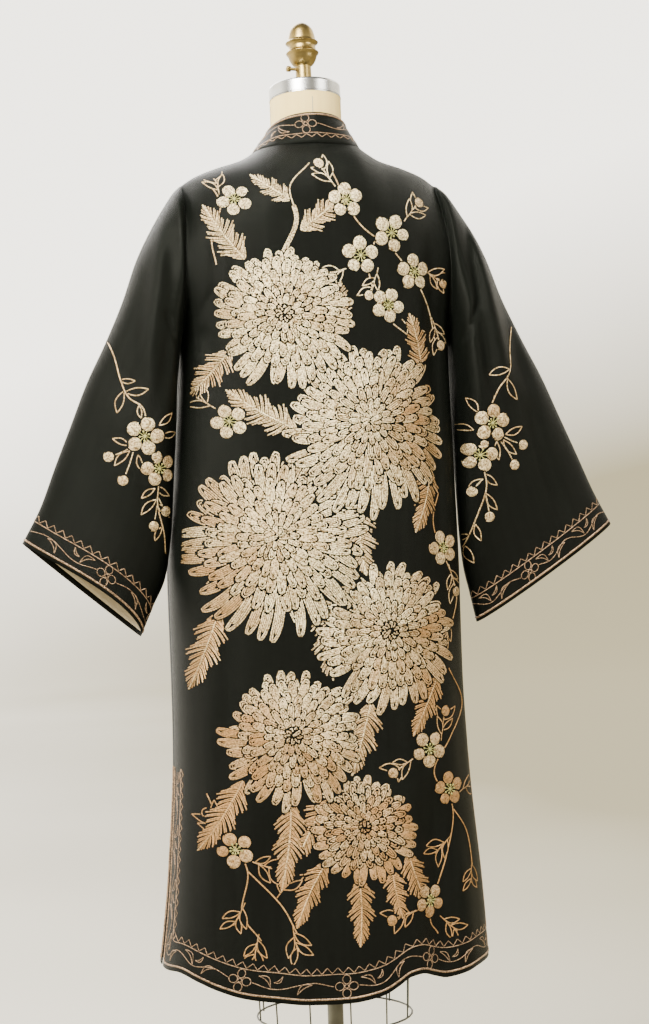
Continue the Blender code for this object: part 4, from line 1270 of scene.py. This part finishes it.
# %% Routes beside an edge
CORD_IN, TOOTH_PITCH = 0.0075, 0.0155
VINE_WAVE, VINE_SWING = 0.082, 0.0070
FLOWER_CLEAR, END_CLEAR, SHORTEST_VINE = 0.018, 0.006, 0.03
CORD, LINE, TOOTH_THREAD, VINE_THREAD = 0.0015, 0.0007, 0.00055, 0.0006      # half widths


class Route:
    """A drawn line that can be followed at a sideways distance."""

    def __init__(self, path, soften=0):
        points = resampled(path, 0.002)
        for _ in range(soften):
            points[1:-1] = (points[:-2] + 2 * points[1:-1] + points[2:]) / 4
        self.points, self.sideways, self.run = points, spine_frame(points), distance_along(points)
        self.length = float(self.run[-1])

    def at(self, s, offset=0.0):
        s = np.asarray(s, float)
        return packed(*(np.interp(s, self.run, self.points[:, k])
                        + np.interp(s, self.run, self.sideways[:, k]) * offset for k in (0, 1)))


def teeth(route, start, end, height):
    count = int((end - start) / TOOTH_PITCH) * 2
    heights = np.where(np.arange(count + 1) % 2 == 0, 0.0012, height)
    return route.at(np.linspace(start, end, count + 1), heights)


def crescent(route, s, offset, angle, length):
    """A curved leaf of two bowed threads, in the route's own coordinates."""
    t = np.linspace(0, 1, 10)[:, None]
    ahead, across = direction(angle), direction(angle + math.pi / 2)
    lines = [np.array([s, offset]) + ahead * (t * length) + across * (np.sin(math.pi * t) * length * bow)
             for bow in (0.34, 0.12)]
    return [route.at(*line.T) for line in lines]


def border_flower(route, s):
    """Four open petal loops and a small ring at their middle."""
    t = np.linspace(0, math.tau, 22)
    reach, wide = (0.0098 + 0.0064 * np.cos(t))[:, None], (0.0058 * np.sin(t))[:, None]
    loops = [reach * direction(angle) + wide * direction(angle + math.pi / 2)
             for angle in (k * math.pi / 2 for k in range(4))] + [circle((0, 0), 0.0028, 12)]
    return [route.at(s + loop[:, 0], loop[:, 1]) for loop in loops]


def vine(route, start, end):
    """A wavy stem with a crescent leaf at each turn."""
    waves = max(1, round((end - start) / VINE_WAVE))
    s = np.linspace(start, end, 24 * waves)
    share = (s - start) / (end - start)
    swing = np.maximum(np.sin(math.pi * share), 0) ** 0.3
    paths = [route.at(s, VINE_SWING * np.sin(math.tau * share * waves) * swing)]
    for k in range(2 * waves):
        where = start + (end - start) * (k + 0.55) / (2 * waves)
        up = 1 if k % 2 else -1
        paths += crescent(route, where, 0.004 * -up, up * 0.65, 0.024)
        if k % 2:
            paths += crescent(route, where - 0.004, 0.003, math.pi - 0.7, 0.015)
    return paths


def border(route_in, flowers, tone, line_in=LINE_IN, cord_in=CORD_IN, tooth=0.0095):
    """Strands of one border. route_in gives the route at a distance inside the edge; flowers
    stand at metres along its middle, or a function of that length gives them."""
    cord, line, middle = route_in(cord_in), route_in(line_in), route_in((line_in + cord_in) / 2)
    strands = [Strand(cord.points, CORD, 0.0003, tone), Strand(line.points, LINE, 0.0001, tone),
               Strand(teeth(line, 0.0, line.length, tooth), TOOTH_THREAD, 0.0001, tone)]
    stops = sorted(flowers(middle.length) if callable(flowers) else flowers)
    paths = [path for s in stops for path in border_flower(middle, s)]
    bounds = [END_CLEAR, *(s for stop in stops for s in (stop - FLOWER_CLEAR, stop + FLOWER_CLEAR)),
              middle.length - END_CLEAR]
    for first, last in zip(bounds[::2], bounds[1::2]):
        if last - first > SHORTEST_VINE:
            paths += vine(middle, first, last)
    return strands + [Strand(path, VINE_THREAD, 0.0001, tone) for path in paths]


def border_piece(name, strands, place, turn):
    return threads(name, strands, place, turn, gold_thread, step=BORDER_STEP, points=4)


print("teeth every", TOOTH_PITCH, "m")

# %% [markdown]
# ## Hem and vents
# The hem's border is drawn on the panel laid flat: sideways it is measured round the cloth, not
# straight across, or its teeth would crowd at the sides. It turns the corner and climbs the side
# vent on both the back and the fronts.

# %% Hem and vent borders
SECTION_Z = 0.45                          # the height at which metres round the cloth are read
VENT_END_Z = VENT_TOP_Z - 0.012
HEM_FLOWERS = (0.164, 0.010, -0.128)      # sideways from the hem's middle, round the cloth
section_across = np.sin(np.linspace(-math.pi / 2, math.pi / 2, 400))
section_run = distance_along(body_at(1, body_x(section_across, SECTION_Z), SECTION_Z))
section_run = section_run - section_run[-1] / 2
HALF_GIRTH = float(section_run[-1])


def wrapped(face):
    """Place a point given by metres round the body and height."""
    def place(w, z):
        return body_at(face, body_x(np.interp(w, section_run, section_across), z), z)
    return place


def hem_z(face, w):
    return HEM.at(FACE_NAME[face], np.interp(w, section_run, section_across))


def edge_route(path, distance):
    """The route of an edge; its corners are rounder the farther in it lies."""
    return Route(path, soften=int(6 + distance * 500))


def back_edge(distance):
    """The back's edge at a distance inside it: left vent, hem, right vent."""
    side = HALF_GIRTH - distance
    w = np.linspace(side, -side, 200)
    hem = packed(w, hem_z(1, w) + distance)
    up = np.linspace(VENT_END_Z, hem[0, 1], 60)
    down = np.linspace(hem[-1, 1], VENT_END_Z, 60)
    return edge_route(np.concatenate([packed(side, up), hem[1:-1], packed(-side, down)])[::-1], distance)


def front_edge_route(side):
    """A front's edge: from the band along the hem and up the side vent."""
    band_seam = float(front_edge(np.array([2.0]))[0])
    inner = float(np.interp(band_seam, section_across, section_run)) + 0.002

    def route_in(distance):
        outer = HALF_GIRTH - distance
        w = np.linspace(inner, outer, 110)
        hem = packed(w, hem_z(-1, w * side) + distance)
        rise = np.linspace(hem[-1, 1], VENT_END_Z, 60)
        return edge_route((np.concatenate([hem[:-1], packed(outer, rise)]) * (side, 1))[::side], distance)
    return route_in


made = border(back_edge, lambda length: [length / 2 + w for w in HEM_FLOWERS], 0.25)
hem_piece = border_piece("border_hem_back", made, wrapped(1), -1)
front_hems = []
for side, word in SIDES:
    made = border(front_edge_route(side), lambda length: [length * 0.62, length * 0.30], 0.25)
    front_hems.append(border_piece(f"border_hem_front_{word}", made, wrapped(-1), 1))

# %% [markdown]
# ## Cuffs
# A cuff's edge is a closed ring. The border runs round it, measured along the ring and up the
# sleeve from the edge, with one flower in the middle of the back layer and one on the front.

# %% Cuff borders
CUFF_FLOWER = {"left": 0.285, "right": 0.305}      # shares of the ring, on the back layer
FRONT_FLOWER = 0.76
cuff_pieces = []


def cuff_place(side):
    angle = np.linspace(0, math.tau, 361)
    edge_ring = sleeve_point(side, angle, float(LAST_STATION))
    run = distance_along(edge_ring)
    run_per_station = np.linalg.norm(edge_ring - sleeve_point(side, angle, LAST_STATION - 1.0), axis=1)

    def place(a, d):
        turn = np.interp(np.mod(a, run[-1]), run, angle)
        return sleeve_point(side, turn, LAST_STATION - d / np.interp(turn, angle, run_per_station))
    return place, float(run[-1])


def straight_edge(start, end):
    """Routes beside an edge that is straight in its own coordinates."""
    return lambda distance: Route([(start, distance), (end, distance)])


for side, word in SIDES:
    place_on_cuff, girth = cuff_place(side)
    made = border(straight_edge(0.0, girth), [girth * CUFF_FLOWER[word], girth * FRONT_FLOWER], 0.30,
                  line_in=0.038, cord_in=0.0065)
    cuff_pieces.append(border_piece(f"border_cuff_{word}", made, place_on_cuff, side))

# %% [markdown]
# ## Band border
# The band is only five centimetres wide, so its border is slimmer: the cord runs on the fold of
# the free edge, the vine fills the middle and the teeth point down over the seam side. A flower
# sits near the centre of the nape.

# %% Band border
FLOWER_GAP, NAPE_SHIFT = 0.155, -0.027
band_width = np.linalg.norm(band_points[:, -1] - band_points[:, 0], axis=1)


def on_band(s, d):
    return band_at(s, 1 - d / np.interp(s, band_run, band_width))


nape = BAND_LENGTH / 2
band_flowers = [nape + NAPE_SHIFT + k * FLOWER_GAP for k in range(-7, 8)]
made = border(straight_edge(0.012, BAND_LENGTH - 0.012), band_flowers, 0.25,
              line_in=0.0350, cord_in=0.0035, tooth=0.0070)
band_piece = border_piece("border_band", made, on_band, -1)

# %% [markdown]
# ## Sprays on the sleeves
# On each sleeve a spray hangs from the overarm fold: outlined leaves, two plum blossoms, buds on
# short stalks and a trailing twig. They are drawn as on the back, each on its own ground map.

# %% Sleeve sprays
SLEEVE_SPRAYS = {
    1: {"blooms": [(0.271, 1.163, 0.030), (0.251, 1.116, 0.028)],
        "twigs": [[(0.320, 1.318), (0.309, 1.280), (0.302, 1.246), (0.292, 1.220), (0.274, 1.206),
                   (0.268, 1.188)], [(0.251, 1.096), (0.253, 1.062), (0.243, 1.020), (0.241, 0.990)]],
        "leaves": [(0.303, 1.246, 185, 0.021), (0.297, 1.228, 174, 0.033), (0.298, 1.230, 288, 0.034),
                   (0.278, 1.208, 262, 0.019), (0.250, 1.178, 138, 0.027), (0.247, 1.162, 165, 0.026),
                   (0.294, 1.150, 24, 0.025), (0.293, 1.142, 316, 0.030), (0.281, 1.136, 255, 0.024),
                   (0.255, 1.090, 214, 0.026), (0.257, 1.086, 325, 0.024), (0.255, 1.070, 316, 0.031),
                   (0.252, 1.064, 226, 0.028), (0.246, 1.030, 298, 0.024)],
        "buds": [(0.292, 1.147, 346, 0.026), (0.288, 1.140, 294, 0.036), (0.254, 1.066, 284, 0.028),
                 (0.252, 1.074, 238, 0.018)]},
    -1: {"blooms": [(-0.254, 1.170, 0.030), (-0.237, 1.123, 0.028)],
         "twigs": [[(-0.298, 1.316), (-0.288, 1.282), (-0.284, 1.248), (-0.266, 1.222), (-0.254, 1.200)],
                   [(-0.241, 1.104), (-0.246, 1.070), (-0.230, 1.018), (-0.212, 0.970)]],
         "leaves": [(-0.283, 1.250, 345, 0.033), (-0.279, 1.236, 240, 0.036), (-0.232, 1.186, 56, 0.027),
                    (-0.227, 1.160, 18, 0.027), (-0.276, 1.152, 156, 0.030), (-0.262, 1.142, 262, 0.028),
                    (-0.272, 1.144, 224, 0.031), (-0.243, 1.094, 220, 0.027), (-0.240, 1.086, 320, 0.024),
                    (-0.246, 1.064, 233, 0.031), (-0.232, 1.018, 250, 0.027), (-0.226, 1.002, 336, 0.027),
                    (-0.219, 0.986, 244, 0.030)],
         "buds": [(-0.274, 1.148, 196, 0.026), (-0.268, 1.142, 244, 0.036), (-0.241, 1.086, 300, 0.016),
                  (-0.245, 1.064, 262, 0.029)]},
}
FOLD_MARGIN = 0.004


def inside_sleeve(side):
    """A test for places clear of the overarm and underarm folds."""
    (over_x, over_z), (under_x, under_z) = sleeve_ends(side, np.linspace(0, LAST_STATION, 60))
    order = np.argsort(under_x)

    def inside(x, z):
        upper = np.interp(np.abs(x), over_x, over_z) - FOLD_MARGIN
        lower = np.interp(np.abs(x), under_x[order], under_z[order]) + FOLD_MARGIN
        return (z < upper) & (z > lower)
    return inside


spray_pieces = {}
for side, word in SIDES:
    near, far = sorted((0.18 * side, 0.48 * side))
    ground = Ground((near, 0.85), (far, 1.56), inside_sleeve(side))
    drawn, stamens, knot_places = [], [], []
    spray = SLEEVE_SPRAYS[side]
    for x, z, radius in spray["blooms"]:
        drawn += blossom(ground, (x, z), radius, 0.36, knot_places, stamens)
    for path in spray["twigs"]:
        drawn += stem(ground, path, 0.0036, TWIG_END, 0.62)
    for x, z, degrees, length in spray["buds"]:
        drawn += sprig(ground, (x, z), math.radians(degrees), length, 0.38, leaves=0)
    for x, z, degrees, length in spray["leaves"]:
        drawn += open_leaf(ground, (x, z), math.radians(degrees), length, 0.66)

    def on_sleeve(x, z, side=side):
        return sleeve_at(side, 1, x, z)

    spray_pieces[side] = [
        threads(f"spray_sleeve_{word}", drawn, on_sleeve, -1, silver_thread, step=SPRAY_STEP),
        threads(f"stamens_sleeve_{word}", stamens, on_sleeve, -1, stamen_thread),
        knots(f"knots_sleeve_{word}", knot_places, on_sleeve, -1, stamen_thread)]

# %% [markdown]
# ## The dress form and its stand
# The torso is a padded shell under stretched jersey, with a spun cap, a turned brass finial and a
# wire cage, on a pole with a round iron base. Turned parts are made as on a lathe: an outline is
# spun about an axis. The torso is a stack of ovals read from the form's own table, fine enough
# that the chest and neck look moulded, and its seams are thin threads on the same surface.

# %% Lathe helper
def lathe(name, profile, segments, material, place=(0, 0, 0), axis=(0, 0, 1), flip=False):
    """Turn a (radius, height) profile into a closed skin; a radius of 0 makes a pole."""
    turn = Vector((0, 0, 1)).rotation_difference(Vector(axis)).to_matrix()
    around = np.linspace(0, math.tau, segments, endpoint=False)
    vertices, rings = [], []
    for radius, height in profile:
        count = segments if radius > 0 else 1
        rings.append((len(vertices), count))
        for k in range(count):
            local = Vector((radius * math.cos(around[k]), radius * math.sin(around[k]), height))
            vertices.append(tuple(Vector(place) + turn @ local))
    faces = []
    for (low, low_count), (high, high_count) in zip(rings, rings[1:]):
        for k in range(segments):
            after = (k + 1) % segments
            near = [low] if low_count == 1 else [low + k, low + after]
            far = [high] if high_count == 1 else [high + after, high + k]
            faces.append((*near, *far))
    if rings[0][1] > 1:
        faces.append(tuple(range(rings[0][0] + segments - 1, rings[0][0] - 1, -1)))
    if rings[-1][1] > 1 and not flip:
        faces.append(tuple(range(rings[-1][0], rings[-1][0] + segments)))
    mesh = bpy.data.meshes.new(name)
    mesh.from_pydata(vertices, [], [face[::-1] for face in faces] if flip else faces)
    mesh.shade_smooth()
    mesh.set_sharp_from_angle(angle=math.radians(38))
    return link_mesh(name, mesh, material)


print("finish on the lathe", spun_steel.name, "/", aged_brass.name)

# %% Torso
TORSO = Table("ring z half_width back front", [(k, *row) for k, row in enumerate([
    (0.800, 0.150, 0.118, 0.110), (0.900, 0.168, 0.135, 0.118), (0.980, 0.172, 0.135, 0.120),
    (1.080, 0.155, 0.115, 0.112), (1.180, 0.128, 0.090, 0.105), (1.280, 0.140, 0.100, 0.125),
    (1.360, 0.152, 0.112, 0.142), (1.430, 0.160, 0.112, 0.122), (1.490, 0.172, 0.098, 0.088),
    (1.515, 0.1775, 0.084, 0.074), (1.535, 0.1805, 0.068, 0.062), (1.5465, 0.178, 0.056, 0.046),
    (1.5560, 0.160, 0.052, 0.042), (1.5620, 0.142, 0.050, 0.040), (1.5672, 0.122, 0.048, 0.039),
    (1.5738, 0.104, 0.047, 0.040), (1.5812, 0.090, 0.048, 0.042), (1.5890, 0.078, 0.050, 0.045),
    (1.6010, 0.0695, 0.0520, 0.0480), (1.6115, 0.0615, 0.0525, 0.0500),
    (1.6205, 0.0545, 0.0535, 0.0520), (1.6400, 0.0541, 0.0540, 0.0540),
    (1.6680, 0.0540, 0.0540, 0.0540),
])])
NECK_TILT, NECK_TOP_Z = math.radians(7), 1.668


def torso_at(turn, ring):
    """Point of the torso at a turn about its axis and a place among the table's rows."""
    depth = np.where(np.sin(turn) >= 0, TORSO.at("back", ring), TORSO.at("front", ring))
    y = depth * np.sin(turn)
    tilt = ease(len(TORSO.rows) - 3, len(TORSO.rows) - 1, ring) * math.tan(NECK_TILT) * y
    return packed(TORSO.at("half_width", ring) * np.cos(turn), MID_Y + y, TORSO.at("z", ring) + tilt)


last_ring = len(TORSO.rows) - 1
turns = np.linspace(0, math.tau, 96, endpoint=False)
rings = np.linspace(0, last_ring, 150)
torso_piece = sheet_piece("jersey_torso", torso_at(turns[None, :], rings[:, None]), jersey,
                          loop=True, capped=True)
torso_piece.data.set_sharp_from_angle(angle=math.radians(50))
seam_thread = woven("jersey seam", (0.40, 0.32, 0.20), (0.50, 0.41, 0.26), 0.0012, 0.00005,
                    roughness=0.9)
BUST_TOP = 8.5                       # the ring at which the front's shaped seams end
seam_paths = [packed(math.radians(degrees), np.linspace(0.05, last_ring - 0.3, 120))
              for degrees in (90, 270, 0, 180)]
for lean in (1, -1):
    rise = np.linspace(0.05, BUST_TOP, 90)
    sway = math.radians(270) + lean * (0.62 + 0.16 * np.sin(rise / BUST_TOP * math.pi * 1.4))
    seam_paths.append(packed(sway, rise))
seams_piece = threads("jersey_seams", [Strand(path, 0.0007, 0.0003, 0) for path in seam_paths],
                      torso_at, 1, seam_thread, step=0.08, roundness=0.5)

# %% Cap, finial, screw, pole and base
tilt_axis = Vector((0, -math.sin(NECK_TILT), math.cos(NECK_TILT)))
neck_top = Vector((0, MID_Y, NECK_TOP_Z)) + tilt_axis * 0.0003
quarter = np.linspace(0, math.pi / 2, 6)
cap_profile = [(0.0, 0.0), (0.0545, 0.0), (0.0545, 0.0010), (0.0530, 0.0012), (0.0530, 0.0021),
               (0.0541, 0.0023), (0.0541, 0.0180)] \
    + [(0.0541 - 0.004 * (1 - math.cos(a)), 0.0180 + 0.004 * math.sin(a)) for a in quarter] \
    + [(0.030, 0.0221), (0.0, 0.0221)]
cap_piece = lathe("spun_cap", cap_profile, 96, spun_steel, neck_top, tilt_axis)
FINIAL = Table("z radius", [
    (0.0000, 0.0120), (0.0310, 0.0120), (0.0350, 0.0160), (0.0415, 0.0200), (0.0485, 0.0225),
    (0.0525, 0.0250), (0.0560, 0.0215), (0.0625, 0.0205), (0.0660, 0.0220), (0.0685, 0.0250),
    (0.0715, 0.0215), (0.0775, 0.0204), (0.0870, 0.0180), (0.0940, 0.0135), (0.0985, 0.0078),
])
heights = np.unique(np.concatenate([np.linspace(0, 0.0985, 90), [0.031, 0.0525, 0.0685]]))
finial_profile = [(0.0, 0.0)] + [(float(FINIAL.at("radius", z)), float(z)) for z in heights] \
    + [(0.0045, 0.0997), (0.0, 0.1003)]
finial_piece = lathe("brass_finial", finial_profile, 72, aged_brass, neck_top + tilt_axis * 0.0224,
                     tilt_axis)
screw_aim = Vector((*direction(math.radians(12)), 0))
screw_profile = [(0, 0), (0.0025, 0), (0.0025, 0.009), (0.0041, 0.0092), (0.0045, 0.0097),
                 (0.0045, 0.0143), (0.0040, 0.0151), (0.0030, 0.0155), (0, 0.0155)]
screw_piece = lathe("brass_screw", screw_profile, 32, aged_brass,
                    neck_top + tilt_axis * 0.0494 + screw_aim * 0.0123, screw_aim)
pole_profile = [(0, 0.0853), (0.0121, 0.0853), (0.0121, 0.7997), (0, 0.7997)]
pole_piece = lathe("steel_pole", pole_profile, 48, grey_tube)
base_profile = [(0.0, 0.0), (0.207, 0.0), (0.210, 0.003), (0.210, 0.014), (0.2085, 0.0170),
                (0.204, 0.019), (0.160, 0.0212), (0.120, 0.024), (0.080, 0.0275), (0.050, 0.032),
                (0.038, 0.0365), (0.032, 0.042), (0.0295, 0.055), (0.028, 0.081), (0.0265, 0.084),
                (0.024, 0.085), (0.0, 0.085)]
base_piece = lathe("iron_base", base_profile, 96, black_enamel)
stand_pieces = (cap_piece, finial_piece, pole_piece, base_piece)
print("stand pieces", [len(piece.data.polygons) for piece in stand_pieces])

# %% [markdown]
# ## Stage, light and camera
# The robe stands before a seamless pale ground. A bowl-shaped sweep gives that from every side:
# its brightness is painted light, a glow that is brighter to one side and upward, with cloudy
# patches, and dim on the camera's side.
# The light is one broad soft source high on the left and a weaker one on the right, as in a museum
# studio, with a faint one beyond the robe for its front. The camera stands 3.3 m away at the
# height of the waist, turned 12 degrees to one side and rolled a little, as the photo's was.

# %% Stage, lights, camera
GLOW = 3.6
SWEEP_FLAT, SWEEP_BEND, SWEEP_TOP = 10, 4, 14.0      # the sweep's flat part, its bend and its height
CAMERA_AWAY, CAMERA_ASIDE, CAMERA_Z = 3.26, 0.008, 1.044
# painted light: the sweep glows over a dark base colour; its emission is a painted gradient, brighter
# towards +X and upward, with cloudy patches, and nearly dark on the camera's side
sweep_finish, tree, shader = finish("glowing sweep", roughness=0.95)
place = object_place(tree)
axes = add(tree, "ShaderNodeSeparateXYZ", {0: place}).outputs
painted_light_slant = math_node(tree, "ADD", math_node(tree, "MULTIPLY", axes["X"], 0.060),
                  math_node(tree, "MULTIPLY", axes["Z"], 0.155))
painted_light_cloud = math_node(tree, "MULTIPLY", noise_node(tree, place, 0.4, 2.0), 0.1)
shade = math_node(tree, "ADD", math_node(tree, "ADD", painted_light_slant, 0.36), painted_light_cloud)
nearness = math_node(tree, "MULTIPLY", math_node(tree, "SUBTRACT", 4.0, axes["Y"]), 0.2, clamp=True)
glow = mixed_color(tree, nearness, (0.045, 0.045, 0.044, 1),
                   color_ramp(tree, shade, (0.17, 0.149, 0.088), (0.99, 0.948, 0.86)))
tree.links.new(glow, shader.inputs["Emission Color"])
shader.inputs["Base Color"].default_value = (0.14, 0.121, 0.075, 1)
shader.inputs["Emission Strength"].default_value = GLOW
bend = [(SWEEP_FLAT + SWEEP_BEND * math.sin(a), SWEEP_BEND - SWEEP_BEND * math.cos(a))
        for a in np.linspace(0, math.pi / 2, 14)]
sweep_profile = [(0, -0.0005)] + bend + [(SWEEP_FLAT + SWEEP_BEND, SWEEP_TOP)]
sweep = lathe("floor_sweep", sweep_profile, 96, sweep_finish, flip=True)


def area_light(name, location, target, size, power, color):
    light = bpy.data.lights.new(name, "AREA")
    light.shape, light.size, light.energy, light.color = "DISK", size, power, color
    lamp = bpy.data.objects.new(name, light)
    lamp.location = location
    aim = Vector(target) - Vector(location)
    lamp.rotation_euler = aim.to_track_quat("-Z", "Y").to_euler()
    bpy.context.scene.collection.objects.link(lamp)


area_light("key", (1.3, 1.7, 3.2), (0, 0, 1.35), 1.6, 345, (1.0, 0.98, 0.95))
area_light("fill", (-2.4, 2.4, 2.4), (0, 0, 1.2), 2.0, 120, (1.0, 0.97, 0.93))
area_light("front_glow", (0.4, -2.0, 3.0), (0, 0, 1.3), 1.8, 72, (1.0, 0.98, 0.96))
world = bpy.data.worlds.new("studio air")
world.use_nodes = True
world.node_tree.nodes["Background"].inputs["Color"].default_value = (1.0, 0.985, 0.96, 1)
world.node_tree.nodes["Background"].inputs["Strength"].default_value = 0.30
bpy.context.scene.world = world

AZIMUTH, ROLL = math.radians(168), math.radians(1.87)
view_right = Vector((math.cos(AZIMUTH), math.sin(AZIMUTH), 0))
view_out = Vector((math.sin(AZIMUTH), -math.cos(AZIMUTH), 0))
rolled_right = view_right * math.cos(ROLL) - Vector((0, 0, 1)) * math.sin(ROLL)
rolled_up = Vector((0, 0, 1)) * math.cos(ROLL) + view_right * math.sin(ROLL)
lens = bpy.data.cameras.new("camera")
lens.lens, lens.sensor_width, lens.sensor_fit = 75.6, 36.0, "AUTO"
camera = bpy.data.objects.new("camera", lens)
stands_at = view_out * CAMERA_AWAY + view_right * CAMERA_ASIDE + Vector((0, 0, CAMERA_Z))
looks_along = Matrix((rolled_right, rolled_up, view_out)).transposed()
camera.matrix_world = Matrix.Translation(stands_at) @ looks_along.to_4x4()
bpy.context.scene.collection.objects.link(camera)
bpy.context.scene.camera = camera
print("camera at", [round(value, 3) for value in camera.matrix_world.translation])

# %% [markdown]
# ## Pieces on the body
# Every piece rides on the one body, and any solid that it stands for is hidden; for cloth, the
# size it was cut to is printed.

for name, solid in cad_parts.items():
    solid.data.materials.clear()
    solid.data.materials.append(drawn_wire)


def hand_over(piece, slot, *nodes):
    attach(piece, "root")
    if nodes:
        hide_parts(*nodes)


for piece in (*field_pieces, *spray_pieces[1], *spray_pieces[-1]):
    hand_over(piece, "embroidery_silver")
for piece in (hem_piece, *front_hems, *cuff_pieces, band_piece):
    hand_over(piece, "embroidery_gold")
for piece, slot, node in (
        (torso_piece, "form_jersey", "torso"), (cap_piece, "cap_steel", "neck_cap"),
        (finial_piece, "finial_brass", "finial"), (screw_piece, "finial_brass", "thumb_screw"),
        (pole_piece, "pole_steel", "pole"), (base_piece, "base_iron", "base")):
    hand_over(piece, slot, node)
hand_over(seams_piece, "form_jersey")

Cut = namedtuple("Cut", "piece slot node flat area rests_on trims")
CUTS = [
    Cut(back, "robe_silk", "back", (0.66, 1.30), 0.71, torso_piece, [*field_pieces, hem_piece]),
    Cut(fronts[1], "robe_silk", "front_left", (0.27, 1.29), 0.26, torso_piece, front_hems[:1]),
    Cut(fronts[-1], "robe_silk", "front_right", (0.27, 1.29), 0.26, torso_piece, front_hems[1:]),
    Cut(sleeves[1], "robe_silk", "sleeve_left", (0.56, 0.56), 0.23, back,
        [cuff_pieces[0], *spray_pieces[1]]),
    Cut(sleeves[-1], "robe_silk", "sleeve_right", (0.56, 0.58), 0.24, back,
        [cuff_pieces[1], *spray_pieces[-1]]),
    Cut(linings[1], "lining_silk", "sleeve_lining_left", (0.50, 0.22), 0.10, sleeves[1], []),
    Cut(linings[-1], "lining_silk", "sleeve_lining_right", (0.52, 0.22), 0.11, sleeves[-1], []),
    Cut(band, "robe_silk", "collar_band", (0.05, 2.86), 0.14, torso_piece, [band_piece]),
]
for cut in CUTS:
    hand_over(cut.piece, cut.slot, cut.node)
    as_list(cut.trims)
    print(cut.piece.name, "cut", cut.flat, "area", cut.area,
          "one layer", round(sum(face.area for face in cut.piece.data.polygons), 3))
